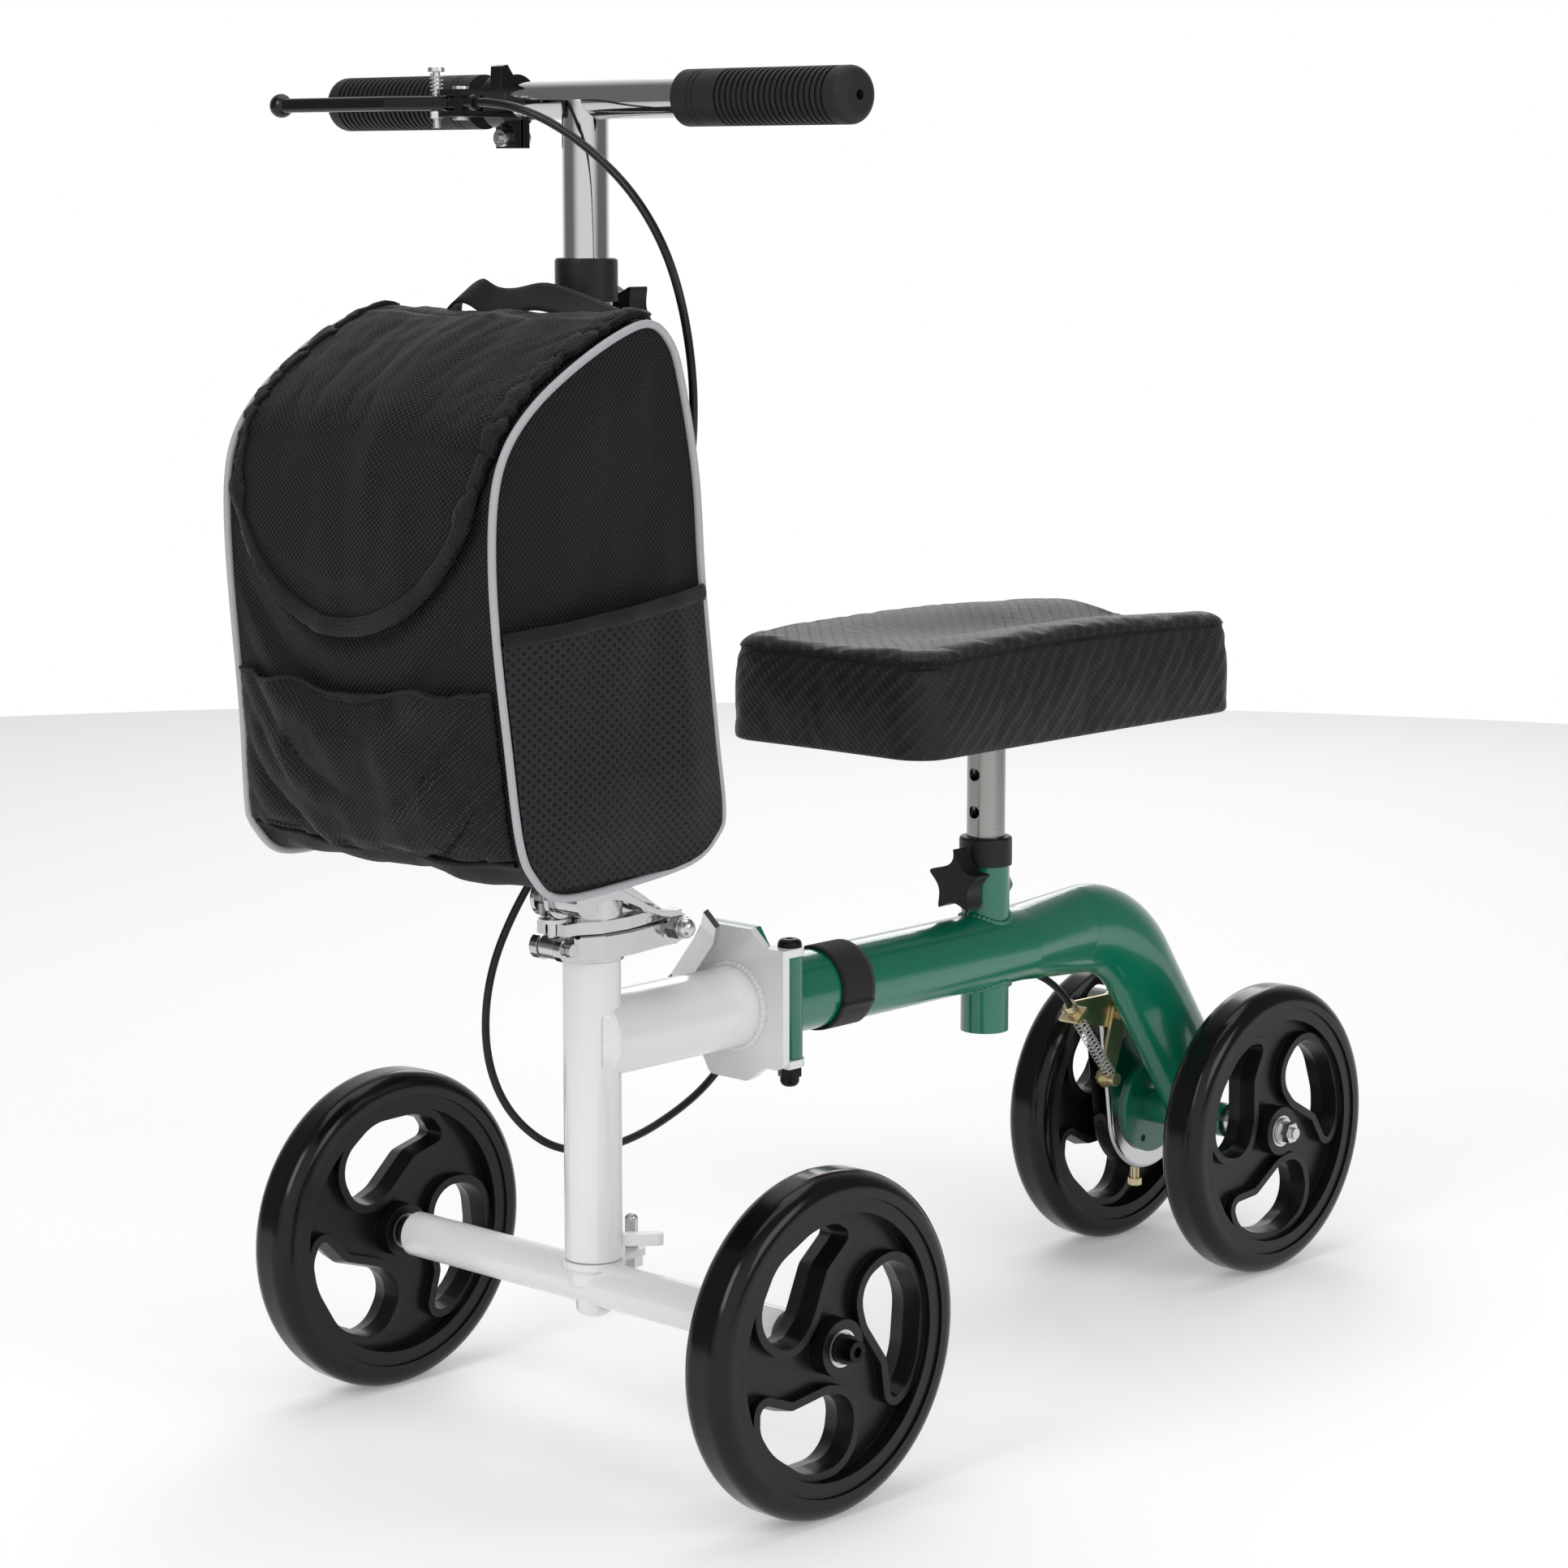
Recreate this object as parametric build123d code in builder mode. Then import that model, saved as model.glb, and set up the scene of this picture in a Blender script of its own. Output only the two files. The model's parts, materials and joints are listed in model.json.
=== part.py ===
from build123d import *
import math
import os

# Knee scooter: a steered front axle under a folding stem with handlebar, hand brake and bag, and a rear
# frame that folds sideways behind the head tube and carries the knee pad and a band-braked rear axle.
# Millimetres. +X is forward, +Y is the rider's left, +Z is up. The origin is on the floor under the
# steering axis.

os.makedirs("parts", exist_ok=True)

# ---------------------------------------------------------------- driving dimensions
# wheels
wheel_radius = 101.5
tyre_width = 32.0
tyre_inner_radius = 87.0
wheel_base = 589.6
front_half_track = 185.3
rear_half_track = 67.6
hub_half_width = 16.5
bearing_radius = 11.0
bearing_width = 7.0
axle_radius = 4.0
running_gap = 0.05
face_gap = 0.2

# steering and front frame
axle_tube_radius = 14.0
crown_radius = 19.0
crown_height = 4.5
steerer_radius = 12.7
head_tube_radius = 17.5
head_tube_wall = 2.0
head_tube_bottom = wheel_radius + 15.5
head_tube_top = 300.0
bush_height = 14.0
beam_radius = 25.4
beam_wall = 2.0
beam_z = 252.0
stop_radius = 32.0
stop_bolt_radius = 4.0
stop_angle = 44.0
stop_finger_width = 8.0

# frame hinge and its latch
plate_front_x = -122.0
plate_thickness = 6.0
plate_gap = 0.3
plate_right_y = -44.0
plate_bottom_z = 206.0
plate_top_z = 302.0
hinge_x = -138.0
hinge_y = 33.0
hinge_pin_radius = 4.0
barrel_radius = 8.0
barrel_height = 65.0
ear_radius = 9.0
ear_thickness = 5.0
latch_y = -36.0
latch_z = 262.0
latch_lever_length = 63.0
latch_lever_width = 14.0
latch_lever_tilt = 49.5
latch_pin_radius = 3.0

# stem fold
stem_radius = 15.9
fold_pivot_x = -57.0
fold_pivot_z = 313.0
fold_knuckle_radius = 9.0
fold_pin_radius = 4.0
fold_base_top = 318.0
clamp_plate_top = 326.0
cross_pin_x = stem_radius + 15.1
cross_pin_z = 311.0
cross_pin_radius = 4.0
eyebolt_radius = 3.6
cam_pin_z = 341.0
cam_pin_radius = 3.0
cam_radius = 12.0
cam_lever_length = 78.0

# stem and handlebar
stem_bore_radius = 13.95
stem_top = 694.0
upper_tube_radius = 13.6
upper_tube_bottom = 400.0
collar_radius = stem_radius + 2.4
collar_height = 19.0
bar_z = 803.0
bar_radius = 11.1
bar_half_length = 206.0
bar_wall = 1.8
grip_length = 128.0
grip_radius = 16.0
knob_radius = 21.0
knob_thickness = 14.0
stem_knob_z = 679.0
knob_stand_off = 3.3
stud_gap = 0.3
stem_bolt_z = 674.0

# hand brake
bracket_y = -64.0
lever_pivot_x = 38.0
lever_end_x = 56.0
lever_end_y = -203.0
lever_z = 801.5
lever_thickness = 8.4
lever_pin_radius = 3.0
button_x = 42.3
button_y = -80.0
button_radius = 2.2
button_top = 822.0

# bag
bag_half_width = 115.0
bag_wall = 3.0
bag_opening_half_width = 104.0
lid_gap = 0.6
lid_wall = 3.0
lid_half_width = 107.0
lid_bottom_z = 516.0
lid_hinge_x = 58.0

# rear frame and seat
seat_tube_x = -365.0
seat_tube_radius = 16.0
seat_tube_bottom = 198.0
seat_tube_top = 310.0
seat_post_radius = 12.7
seat_post_wall = 2.0
seat_post_bottom = 215.0
seat_slide_gap = 0.1
seat_collar_height = 19.0
seat_knob_z = 301.0
seat_bolt_z = 294.0
pad_front_x = -199.0
pad_length = 337.0
pad_front_half_width = 87.0
pad_rear_half_width = 82.0
pad_bottom = 407.0
pad_height = 68.0
pad_plate_z = 401.0
pad_plate_thickness = 3.0
board_thickness = 8.0
squash_start_x = -wheel_base + 194.6
bend_start_x = -wheel_base + 127.6
bend_radius = 85.0
bend_angle = 55.0
squash_half_width = 19.0
squash_half_depth = 30.5
beam_end_run = 122.0

# rear axle and band brake
rear_axle_tube_radius = 12.0
flange_radius = 33.0
drum_radius = 34.0
band_thickness = 1.6
band_gap = 0.4
cover_radius = 46.0
cover_wall = 1.5
cover_face_y = -33.0
arm_pivot_x = -wheel_base + 41.6
arm_pivot_z = wheel_radius + 76.5
arm_pin_radius = 4.0
barrel_x = -wheel_base + 99.6
barrel_z = wheel_radius + 82.5
clamp_x = -wheel_base + 57.6
clamp_z = wheel_radius + 30.5
cable_radius = 2.5


def side_plane(y):
    """The plane at this Y, with its x forward and its y up. Extruding goes to the rider's right."""
    return Plane.XZ.offset(-y)


def front_plane(x):
    """The plane at this X, with its x to the rider's left and its y up. Extruding goes forward."""
    return Plane.YZ.offset(x)


def keep(builder, name):
    """Label a finished piece and write its file."""
    builder.part.label = name
    export_step(builder.part, f"parts/{name}.step")


def keep_group(builders, name):
    """Write a bolt and what goes with it as one file of separate solids."""
    group = Compound([solid for builder in builders for solid in builder.part.solids()])
    group.label = name
    export_step(group, f"parts/{name}.step")


def keep_copy(part, name, place):
    """Write a copy of a repeated piece at its place."""
    copy = part.moved(place)
    copy.label = name
    export_step(copy, f"parts/{name}.step")


# ---------------------------------------------------------------- wheels
spoke_step = 120
rim_ring_radius = 78.0
rim_half_width = 14.5
web_half_width = 5.0
lip_half_width = 11.0
lip_width = 7.5
hub_radius = 17.0


# corners of the comma-shaped hole between two spokes, rearward and up from the hub, each with its round
opening_corners = (
    ((31, 21), 16),
    ((66, 22), 19),
    ((72, -12), 28),
    ((58, -42), 40),
    ((46, -53.5), 14),
    ((33, -55.5), 3),
    ((38, -31), 12),
    ((29.5, -2), 18),
)


def spoke_opening():
    """The edges of the hole between two spokes, in the side plane through the hub."""
    corners = [(-x, z) for (x, z), _ in opening_corners]
    rounds = [rounding for _, rounding in opening_corners]
    with BuildLine() as outline:
        FilletPolyline(*corners, radius=rounds, close=True)
    return outline.edges()


with BuildPart() as tyre:
    with BuildSketch(Plane.XY) as tyre_section:
        with Locations((tyre_inner_radius, 0)):
            Rectangle(
                wheel_radius - tyre_inner_radius,
                tyre_width,
                align=(Align.MIN, Align.CENTER),
            )
        fillet(tyre_section.vertices().group_by(Axis.X)[-1], 10.5)
    revolve(axis=Axis.Y)

with BuildPart() as opening:
    for facing in (1, -1):
        with BuildSketch(side_plane(0)):
            make_face(spoke_opening())
        extrude(amount=facing * (lip_half_width + 0.5), taper=-12)

with BuildPart() as lip:
    with BuildSketch(side_plane(0)):
        make_face(spoke_opening())
        offset(amount=lip_width, mode=Mode.REPLACE)
    extrude(amount=lip_half_width, both=True)

with BuildPart() as rim:
    with BuildSketch(Plane.XY):
        with Locations((rim_ring_radius, 0)):
            Rectangle(tyre_inner_radius - rim_ring_radius, 2 * rim_half_width, align=(Align.MIN, Align.CENTER))
        Rectangle(rim_ring_radius, 2 * web_half_width, align=(Align.MIN, Align.CENTER))
        Rectangle(hub_radius, 2 * hub_half_width, align=(Align.MIN, Align.CENTER))
    revolve(axis=Axis.Y)
    for turn in range(3):
        add(lip.part.rotate(Axis.Y, spoke_step * turn))
    for turn in range(3):
        add(opening.part.rotate(Axis.Y, spoke_step * turn), mode=Mode.SUBTRACT)
    with BuildSketch(side_plane(0)):
        Circle(bearing_radius - 2.5)
    extrude(amount=hub_half_width, both=True, mode=Mode.SUBTRACT)
    for facing in (1, -1):
        with BuildSketch(side_plane(facing * hub_half_width)):
            Circle(bearing_radius)
        extrude(amount=facing * bearing_width, mode=Mode.SUBTRACT)

with BuildPart() as bearings:
    for facing in (1, -1):
        with BuildSketch(side_plane(facing * hub_half_width)):
            Circle(bearing_radius)
            Circle(axle_radius + running_gap, mode=Mode.SUBTRACT)
        extrude(amount=facing * bearing_width)
        with BuildSketch(side_plane(facing * hub_half_width)):
            Circle(bearing_radius - 1.8)
            Circle(axle_radius + 2.2, mode=Mode.SUBTRACT)
        extrude(amount=facing * 0.6, mode=Mode.SUBTRACT)

# each wheel: its centre, and how far its spokes are turned
wheels = {
    "front_left": (0, front_half_track, 20),
    "front_right": (0, -front_half_track, -4),
    "rear_left": (-wheel_base, rear_half_track, 45),
    "rear_right": (-wheel_base, -rear_half_track, 14),
}
for name, (x, y, turned) in wheels.items():
    place = Location((x, y, wheel_radius), (0, turned, 0))
    keep_copy(tyre.part, f"{name}_tyre", place)
    keep_copy(rim.part, f"{name}_rim", place)
    keep_copy(bearings.part, f"{name}_bearings", place)

# ---------------------------------------------------------------- front frame
hinge_bottom_z = beam_z + 2 - barrel_height / 2
hinge_top_z = hinge_bottom_z + barrel_height
plate_back_x = plate_front_x - plate_thickness
ear_left_y = hinge_y + ear_radius
ear_right_y = hinge_y - ear_radius

with BuildPart() as front_frame:
    # head tube, main tube and hinge plate
    with BuildSketch(Plane.XY.offset(head_tube_bottom)):
        Circle(head_tube_radius)
    extrude(amount=head_tube_top - head_tube_bottom)
    with BuildSketch(front_plane(0)):
        with Locations((0, beam_z)):
            Circle(beam_radius)
    extrude(amount=plate_front_x)
    with BuildSketch(front_plane(0)):
        with Locations((0, beam_z)):
            Circle(beam_radius - beam_wall)
    extrude(amount=plate_back_x - 1, mode=Mode.SUBTRACT)
    with BuildSketch(front_plane(plate_front_x)) as plate_face:
        with BuildLine():
            Polyline(
                (plate_right_y, latch_z - 15),
                (plate_right_y, latch_z + 12),
                (-26, plate_top_z),
                (14, plate_top_z),
                (26, hinge_top_z + ear_thickness),
                (ear_left_y, hinge_top_z + ear_thickness),
                (ear_left_y, hinge_bottom_z - ear_thickness),
                (26, hinge_bottom_z - ear_thickness),
                (12, plate_bottom_z),
                (-20, plate_bottom_z),
                close=True,
            )
        make_face()
        fillet(plate_face.vertices().sort_by(Axis.Y)[:5], 6)
        with Locations((0, beam_z)):
            Circle(9, mode=Mode.SUBTRACT)
    extrude(amount=-plate_thickness)
    # ears above and below the hinge barrel
    for low in (hinge_bottom_z - ear_thickness, hinge_top_z):
        with BuildSketch(Plane.XY.offset(low)):
            with Locations((hinge_x, hinge_y)):
                Circle(ear_radius)
            with Locations((hinge_x, hinge_y)):
                Rectangle(plate_back_x - hinge_x, 2 * ear_radius, align=(Align.MIN, Align.CENTER))
        extrude(amount=ear_thickness)
    with BuildSketch(Plane.XY.offset(hinge_bottom_z - ear_thickness)):
        with Locations((hinge_x, hinge_y)):
            Circle(hinge_pin_radius)
    extrude(amount=barrel_height + 2 * ear_thickness, mode=Mode.SUBTRACT)
    # hole for the latch bolt
    with BuildSketch(front_plane(plate_front_x)):
        with Locations((latch_y, latch_z)):
            Circle(5)
    extrude(amount=-plate_thickness, mode=Mode.SUBTRACT)
    # fingers that stop the steering
    for side in (1, -1):
        finger_plane = Plane.XY.offset(head_tube_bottom + 7).rotated((0, 0, 180 + side * stop_angle))
        with BuildSketch(finger_plane) as finger:
            with Locations((head_tube_radius - 3, 0)):
                Rectangle(
                    stop_radius - head_tube_radius + 13,
                    stop_finger_width,
                    align=(Align.MIN, Align.CENTER),
                )
            fillet(finger.vertices().sort_by_distance((0, 0, head_tube_bottom + 7))[-2:], 3.5)
        extrude(amount=7)
    with BuildSketch(Plane.XY.offset(head_tube_bottom)):
        Circle(head_tube_radius - head_tube_wall)
    extrude(amount=head_tube_top - head_tube_bottom, mode=Mode.SUBTRACT)
keep(front_frame, "front_frame")

with BuildPart() as head_bushings:
    for low in (head_tube_bottom, head_tube_top - bush_height):
        with BuildSketch(Plane.XY.offset(low)):
            Circle(head_tube_radius - head_tube_wall)
            Circle(steerer_radius + running_gap, mode=Mode.SUBTRACT)
        extrude(amount=bush_height)
keep(head_bushings, "head_bushings")

hinge_head_height = 5.0
hinge_nut_height = 6.5
with BuildPart() as hinge_bolt:
    with BuildSketch(Plane.XY.offset(hinge_bottom_z - ear_thickness - hinge_nut_height)):
        with Locations((hinge_x, hinge_y)):
            Circle(hinge_pin_radius)
    extrude(amount=barrel_height + 2 * ear_thickness + hinge_nut_height)
    with BuildSketch(Plane.XY.offset(hinge_top_z + ear_thickness)):
        with Locations((hinge_x, hinge_y)):
            Circle(7.5)
    extrude(amount=hinge_head_height)
    fillet(hinge_bolt.faces().sort_by(Axis.Z)[-1].edges(), 3.5)
    with BuildSketch(Plane.XY.offset(hinge_top_z + ear_thickness + hinge_head_height)):
        with Locations((hinge_x, hinge_y)):
            RegularPolygon(2.6, 6)
    extrude(amount=-3, mode=Mode.SUBTRACT)

with BuildPart() as hinge_nut:
    nut_top = hinge_bottom_z - ear_thickness
    with BuildSketch(Plane.XY.offset(nut_top)):
        with Locations((hinge_x, hinge_y)):
            RegularPolygon(7.5, 6)
    extrude(amount=-hinge_nut_height)
    with BuildSketch(Plane.XY.offset(nut_top - hinge_nut_height)):
        with Locations((hinge_x, hinge_y)):
            Circle(6)
    extrude(amount=-6.5)
    fillet(hinge_nut.faces().sort_by(Axis.Z)[0].edges(), 4)
    with BuildSketch(Plane.XY.offset(nut_top)):
        with Locations((hinge_x, hinge_y)):
            Circle(hinge_pin_radius)
    extrude(amount=-hinge_nut_height, mode=Mode.SUBTRACT)
keep_group((hinge_bolt, hinge_nut), "hinge_bolt")

# the latch bolt stands through the front plate, and its eye holds the lever's pin
latch_pivot_x = plate_front_x + 9.0
lever_plane = Plane(
    origin=(latch_pivot_x, latch_y, latch_z),
    x_dir=(0, math.cos(math.radians(latch_lever_tilt)), math.sin(math.radians(latch_lever_tilt))),
    z_dir=(0, -math.sin(math.radians(latch_lever_tilt)), math.cos(math.radians(latch_lever_tilt))),
)
with BuildPart() as latch_bolt:
    with BuildSketch(front_plane(plate_back_x - 5)):
        with Locations((latch_y, latch_z)):
            Circle(5)
    extrude(amount=plate_thickness + 5)
    with BuildSketch(front_plane(plate_front_x)):
        with Locations((latch_y, latch_z)):
            Circle(8)
    extrude(amount=2)
    with BuildSketch(lever_plane):
        Circle(5.5)
        with Locations((0, 4.5)):
            Rectangle(8, 5)
    extrude(amount=3, both=True)
    with BuildSketch(lever_plane):
        Circle(latch_pin_radius)
    extrude(amount=latch_lever_width / 2, both=True)
keep(latch_bolt, "latch_bolt")

latch_head_radius = 6.5
with BuildPart() as latch_lever:
    with BuildSketch(lever_plane):
        Circle(latch_head_radius)
        with BuildLine():
            Polyline(
                (0, -5.5),
                (latch_lever_length - 16, -8.5),
                (latch_lever_length, -17),
                (latch_lever_length + 2.5, -14.5),
                (latch_lever_length - 14.5, -5.5),
                (0, -1.5),
                close=True,
            )
        make_face()
    extrude(amount=latch_lever_width / 2, both=True)
    with BuildSketch(lever_plane):
        Circle(latch_head_radius + 0.8)
    extrude(amount=3.2, both=True, mode=Mode.SUBTRACT)
    with BuildSketch(lever_plane):
        Circle(latch_pin_radius + running_gap)
    extrude(amount=latch_lever_width, both=True, mode=Mode.SUBTRACT)
keep(latch_lever, "latch_lever")

# ---------------------------------------------------------------- steering
crown_top = head_tube_bottom - 2 * face_gap
steerer_top = 312.0
axle_tube_half_length = front_half_track - hub_half_width - 10.0
plug_length = 20.0
with BuildPart() as steering_axle:
    with BuildSketch(side_plane(0)):
        with Locations((0, wheel_radius)):
            Circle(axle_tube_radius)
    extrude(amount=axle_tube_half_length, both=True)
    with BuildSketch(side_plane(0)):
        with Locations((0, wheel_radius)):
            Circle(axle_tube_radius - 2)
    extrude(amount=axle_tube_half_length - plug_length, both=True, mode=Mode.SUBTRACT)
    with BuildSketch(side_plane(0)):
        with Locations((0, wheel_radius)):
            Circle(axle_radius)
    extrude(amount=axle_tube_half_length, both=True, mode=Mode.SUBTRACT)
    # boss, crown plate with its ear, and steerer
    with BuildSketch(Plane.XY.offset(wheel_radius - axle_tube_radius - 6)) as boss:
        Circle(11)
    extrude(amount=axle_tube_radius)
    fillet(steering_axle.faces().sort_by(Axis.Z)[0].edges(), 5)
    with BuildSketch(Plane.XY.offset(crown_top - crown_height)):
        Circle(crown_radius)
        with Locations((-stop_radius, 0)):
            Circle(stop_bolt_radius + 4.5)
        with Locations((-stop_radius / 2, 0)):
            Rectangle(stop_radius, 2 * stop_bolt_radius + 9)
    extrude(amount=crown_height)
    with BuildSketch(Plane.XY.offset(wheel_radius)):
        Circle(crown_radius - 3)
    extrude(amount=crown_top - crown_height - wheel_radius)
    with BuildSketch(Plane.XY.offset(wheel_radius)):
        Circle(steerer_radius)
    extrude(amount=steerer_top - wheel_radius)
    with BuildSketch(Plane.XY.offset(wheel_radius + axle_tube_radius + 2)):
        Circle(steerer_radius - 2.5)
    extrude(amount=steerer_top - wheel_radius, mode=Mode.SUBTRACT)
    with BuildSketch(Plane.XY.offset(crown_top - crown_height)):
        with Locations((-stop_radius, 0)):
            Circle(stop_bolt_radius)
    extrude(amount=crown_height, mode=Mode.SUBTRACT)
keep(steering_axle, "steering_axle")

with BuildPart() as stop_bolt:
    with BuildSketch(Plane.XY.offset(crown_top - crown_height - 7)):
        with Locations((-stop_radius, 0)):
            RegularPolygon(7, 6)
    extrude(amount=7)
    with BuildSketch(Plane.XY.offset(crown_top - crown_height)):
        with Locations((-stop_radius, 0)):
            Circle(stop_bolt_radius)
    extrude(amount=crown_height + 21)
    fillet(stop_bolt.faces().sort_by(Axis.Z)[-1].edges(), stop_bolt_radius - 0.4)
keep(stop_bolt, "stop_bolt")

front_spacer_radius = 8.5
with BuildPart() as front_axle_bolts:
    for side in (1, -1):
        outer = front_half_track + hub_half_width + face_gap
        with BuildSketch(side_plane(side * (axle_tube_half_length - plug_length))):
            with Locations((0, wheel_radius)):
                Circle(axle_radius)
        extrude(amount=-side * (outer + 5 - axle_tube_half_length + plug_length))
        with BuildSketch(side_plane(side * outer)) as washer:
            with Locations((0, wheel_radius)):
                Circle(front_spacer_radius)
        extrude(amount=-side * 4)
        with BuildSketch(side_plane(side * (outer + 4))):
            with Locations((0, wheel_radius)):
                Circle(6.5)
        extrude(amount=-side * 7)
        with BuildSketch(side_plane(side * (outer + 11))):
            with Locations((0, wheel_radius)):
                RegularPolygon(3.4, 6)
        extrude(amount=side * 4.5, mode=Mode.SUBTRACT)

with BuildPart() as front_spacers:
    for side in (1, -1):
        with BuildSketch(side_plane(side * axle_tube_half_length)):
            with Locations((0, wheel_radius)):
                Circle(front_spacer_radius)
                Circle(axle_radius, mode=Mode.SUBTRACT)
        extrude(amount=-side * (10 - face_gap))
keep_group((front_axle_bolts, front_spacers), "front_axle_bolts")

# ---------------------------------------------------------------- stem fold
knuckle_half = 7.8
ear_outer_half = 16.0
cross_ear_inner = 7.0
cross_ear_outer = 13.0
base_bottom = head_tube_top + 2 * face_gap
base_plate_bottom = base_bottom + 2.6
with BuildPart() as fold_base:
    with BuildSketch(Plane.XY.offset(base_bottom)):
        Circle(head_tube_radius + 2)
    extrude(amount=fold_base_top - base_bottom)
    with BuildSketch(Plane.XY.offset(base_plate_bottom)):
        with BuildLine():
            Polyline(
                (fold_pivot_x + 12, ear_outer_half),
                (-14, 21),
                (8, 20),
                (cross_pin_x - 9, cross_ear_outer),
                (cross_pin_x - 9, -cross_ear_outer),
                (8, -20),
                (-14, -21),
                (fold_pivot_x + 12, -ear_outer_half),
                close=True,
            )
        make_face()
    extrude(amount=fold_base_top - base_plate_bottom)
    fillet(fold_base.faces().sort_by(Axis.Z)[-1].edges().filter_by(GeomType.LINE), 1.5)
    for side in (1, -1):
        # rear knuckle and front ear
        with BuildSketch(side_plane(side * (knuckle_half + face_gap))):
            with Locations((fold_pivot_x, fold_pivot_z)):
                Circle(fold_knuckle_radius)
            with Locations((fold_pivot_x, base_plate_bottom)):
                Rectangle(13, fold_base_top - base_plate_bottom - 1.6, align=(Align.MIN, Align.MIN))
        extrude(amount=-side * (ear_outer_half - knuckle_half - face_gap))
        with BuildSketch(side_plane(side * cross_ear_inner)):
            with Locations((cross_pin_x, cross_pin_z)):
                Circle(cross_pin_radius + 4)
            with Locations((cross_pin_x - 10, base_plate_bottom)):
                Rectangle(10, fold_base_top - base_plate_bottom - 1.6, align=(Align.MIN, Align.MIN))
        extrude(amount=-side * (cross_ear_outer - cross_ear_inner))
    with BuildSketch(side_plane(0)):
        with Locations((cross_pin_x, cross_pin_z)):
            Circle(cross_pin_radius + face_gap)
        with Locations((cross_pin_x, cross_pin_z)):
            Rectangle(2 * (cross_pin_radius + face_gap), 20, align=(Align.CENTER, Align.MIN))
    extrude(amount=cross_ear_outer + 1, both=True, mode=Mode.SUBTRACT)
    with BuildSketch(Plane.XY.offset(base_plate_bottom)):
        with Locations((cross_pin_x - 9, 0)):
            Rectangle(22, 2 * cross_ear_inner, align=(Align.MIN, Align.CENTER))
        with Locations((fold_pivot_x - 10, 0)):
            Rectangle(24, 2 * (knuckle_half + face_gap), align=(Align.MIN, Align.CENTER))
    extrude(amount=20, mode=Mode.SUBTRACT)
    with BuildSketch(side_plane(0)):
        with Locations((fold_pivot_x, fold_pivot_z)):
            Circle(fold_pin_radius)
    extrude(amount=ear_outer_half, both=True, mode=Mode.SUBTRACT)
    with BuildSketch(Plane.XY.offset(base_bottom)):
        Circle(steerer_radius)
    extrude(amount=steerer_top - base_bottom, mode=Mode.SUBTRACT)
keep(fold_base, "fold_base")

with BuildPart() as fold_pivot_bolt:
    with BuildSketch(side_plane(ear_outer_half + 8)):
        with Locations((fold_pivot_x, fold_pivot_z)):
            Circle(fold_pin_radius)
    extrude(amount=2 * ear_outer_half + 8)
    with BuildSketch(side_plane(-ear_outer_half)):
        with Locations((fold_pivot_x, fold_pivot_z)):
            RegularPolygon(7, 6)
    extrude(amount=5)

with BuildPart() as acorn_nut:
    with BuildSketch(side_plane(ear_outer_half)):
        with Locations((fold_pivot_x, fold_pivot_z)):
            RegularPolygon(7.5, 6)
    extrude(amount=-5)
    with BuildSketch(side_plane(ear_outer_half + 5)):
        with Locations((fold_pivot_x, fold_pivot_z)):
            Circle(6.3)
    extrude(amount=-7)
    fillet(acorn_nut.faces().sort_by(Axis.Y)[-1].edges(), 5.5)
    with BuildSketch(side_plane(ear_outer_half)):
        with Locations((fold_pivot_x, fold_pivot_z)):
            Circle(fold_pin_radius)
    extrude(amount=-8, mode=Mode.SUBTRACT)
keep_group((fold_pivot_bolt, acorn_nut), "fold_pivot_bolt")

clamp_bottom = fold_base_top + 2.5 * face_gap
socket_top = 350.0
with BuildPart() as stem_clamp:
    with BuildSketch(Plane.XY.offset(clamp_bottom)) as clamp_plate:
        with BuildLine():
            Polyline(
                (fold_pivot_x + 12, 14),
                (-12, 20),
                (10, 19),
                (cross_pin_x - 8, 12),
                (cross_pin_x + 2, 12),
                (cross_pin_x + 2, -12),
                (cross_pin_x - 8, -12),
                (10, -19),
                (-12, -20),
                (fold_pivot_x + 12, -14),
                close=True,
            )
        make_face()
    extrude(amount=clamp_plate_top - clamp_bottom)
    # swept hood from the hinge up to the stem socket
    with BuildSketch(side_plane(0)):
        with BuildLine():
            hood_top = Spline(
                (fold_pivot_x, fold_pivot_z + fold_knuckle_radius),
                (-36, 332),
                (-10, socket_top),
                tangents=((1, 0.1), (1, 0.9)),
            )
            Polyline(
                hood_top @ 1,
                (0, socket_top),
                (0, clamp_bottom),
                (fold_pivot_x + 4, clamp_bottom),
                hood_top @ 0,
            )
        make_face()
    extrude(amount=13, both=True)
    with BuildSketch(Plane.XY.offset(clamp_bottom)):
        Circle(stem_radius + 2.6)
    extrude(amount=socket_top - clamp_bottom)
    with BuildSketch(Plane.XY.offset(clamp_bottom - 20)):
        with Locations((fold_pivot_x - 12, knuckle_half + 10)):
            Rectangle(43, 20)
        with Locations((fold_pivot_x - 12, -knuckle_half - 10)):
            Rectangle(43, 20)
    extrude(amount=60, mode=Mode.SUBTRACT)
    with BuildSketch(side_plane(0)):
        with Locations((fold_pivot_x, fold_pivot_z)):
            Circle(fold_knuckle_radius)
    extrude(amount=knuckle_half, both=True)
    with BuildSketch(Plane.XY.offset(clamp_bottom)):
        with Locations((cross_pin_x, 0)):
            Circle(cross_pin_radius + 1)
        with Locations((cross_pin_x, 0)):
            Rectangle(10, 2 * cross_pin_radius + 2, align=(Align.MIN, Align.CENTER))
    extrude(amount=20, mode=Mode.SUBTRACT)
    with BuildSketch(side_plane(0)):
        with Locations((fold_pivot_x, fold_pivot_z)):
            Circle(fold_pin_radius + running_gap)
    extrude(amount=knuckle_half, both=True, mode=Mode.SUBTRACT)
    with BuildSketch(Plane.XY.offset(clamp_bottom + 3)):
        Circle(stem_radius)
    extrude(amount=60, mode=Mode.SUBTRACT)
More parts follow.
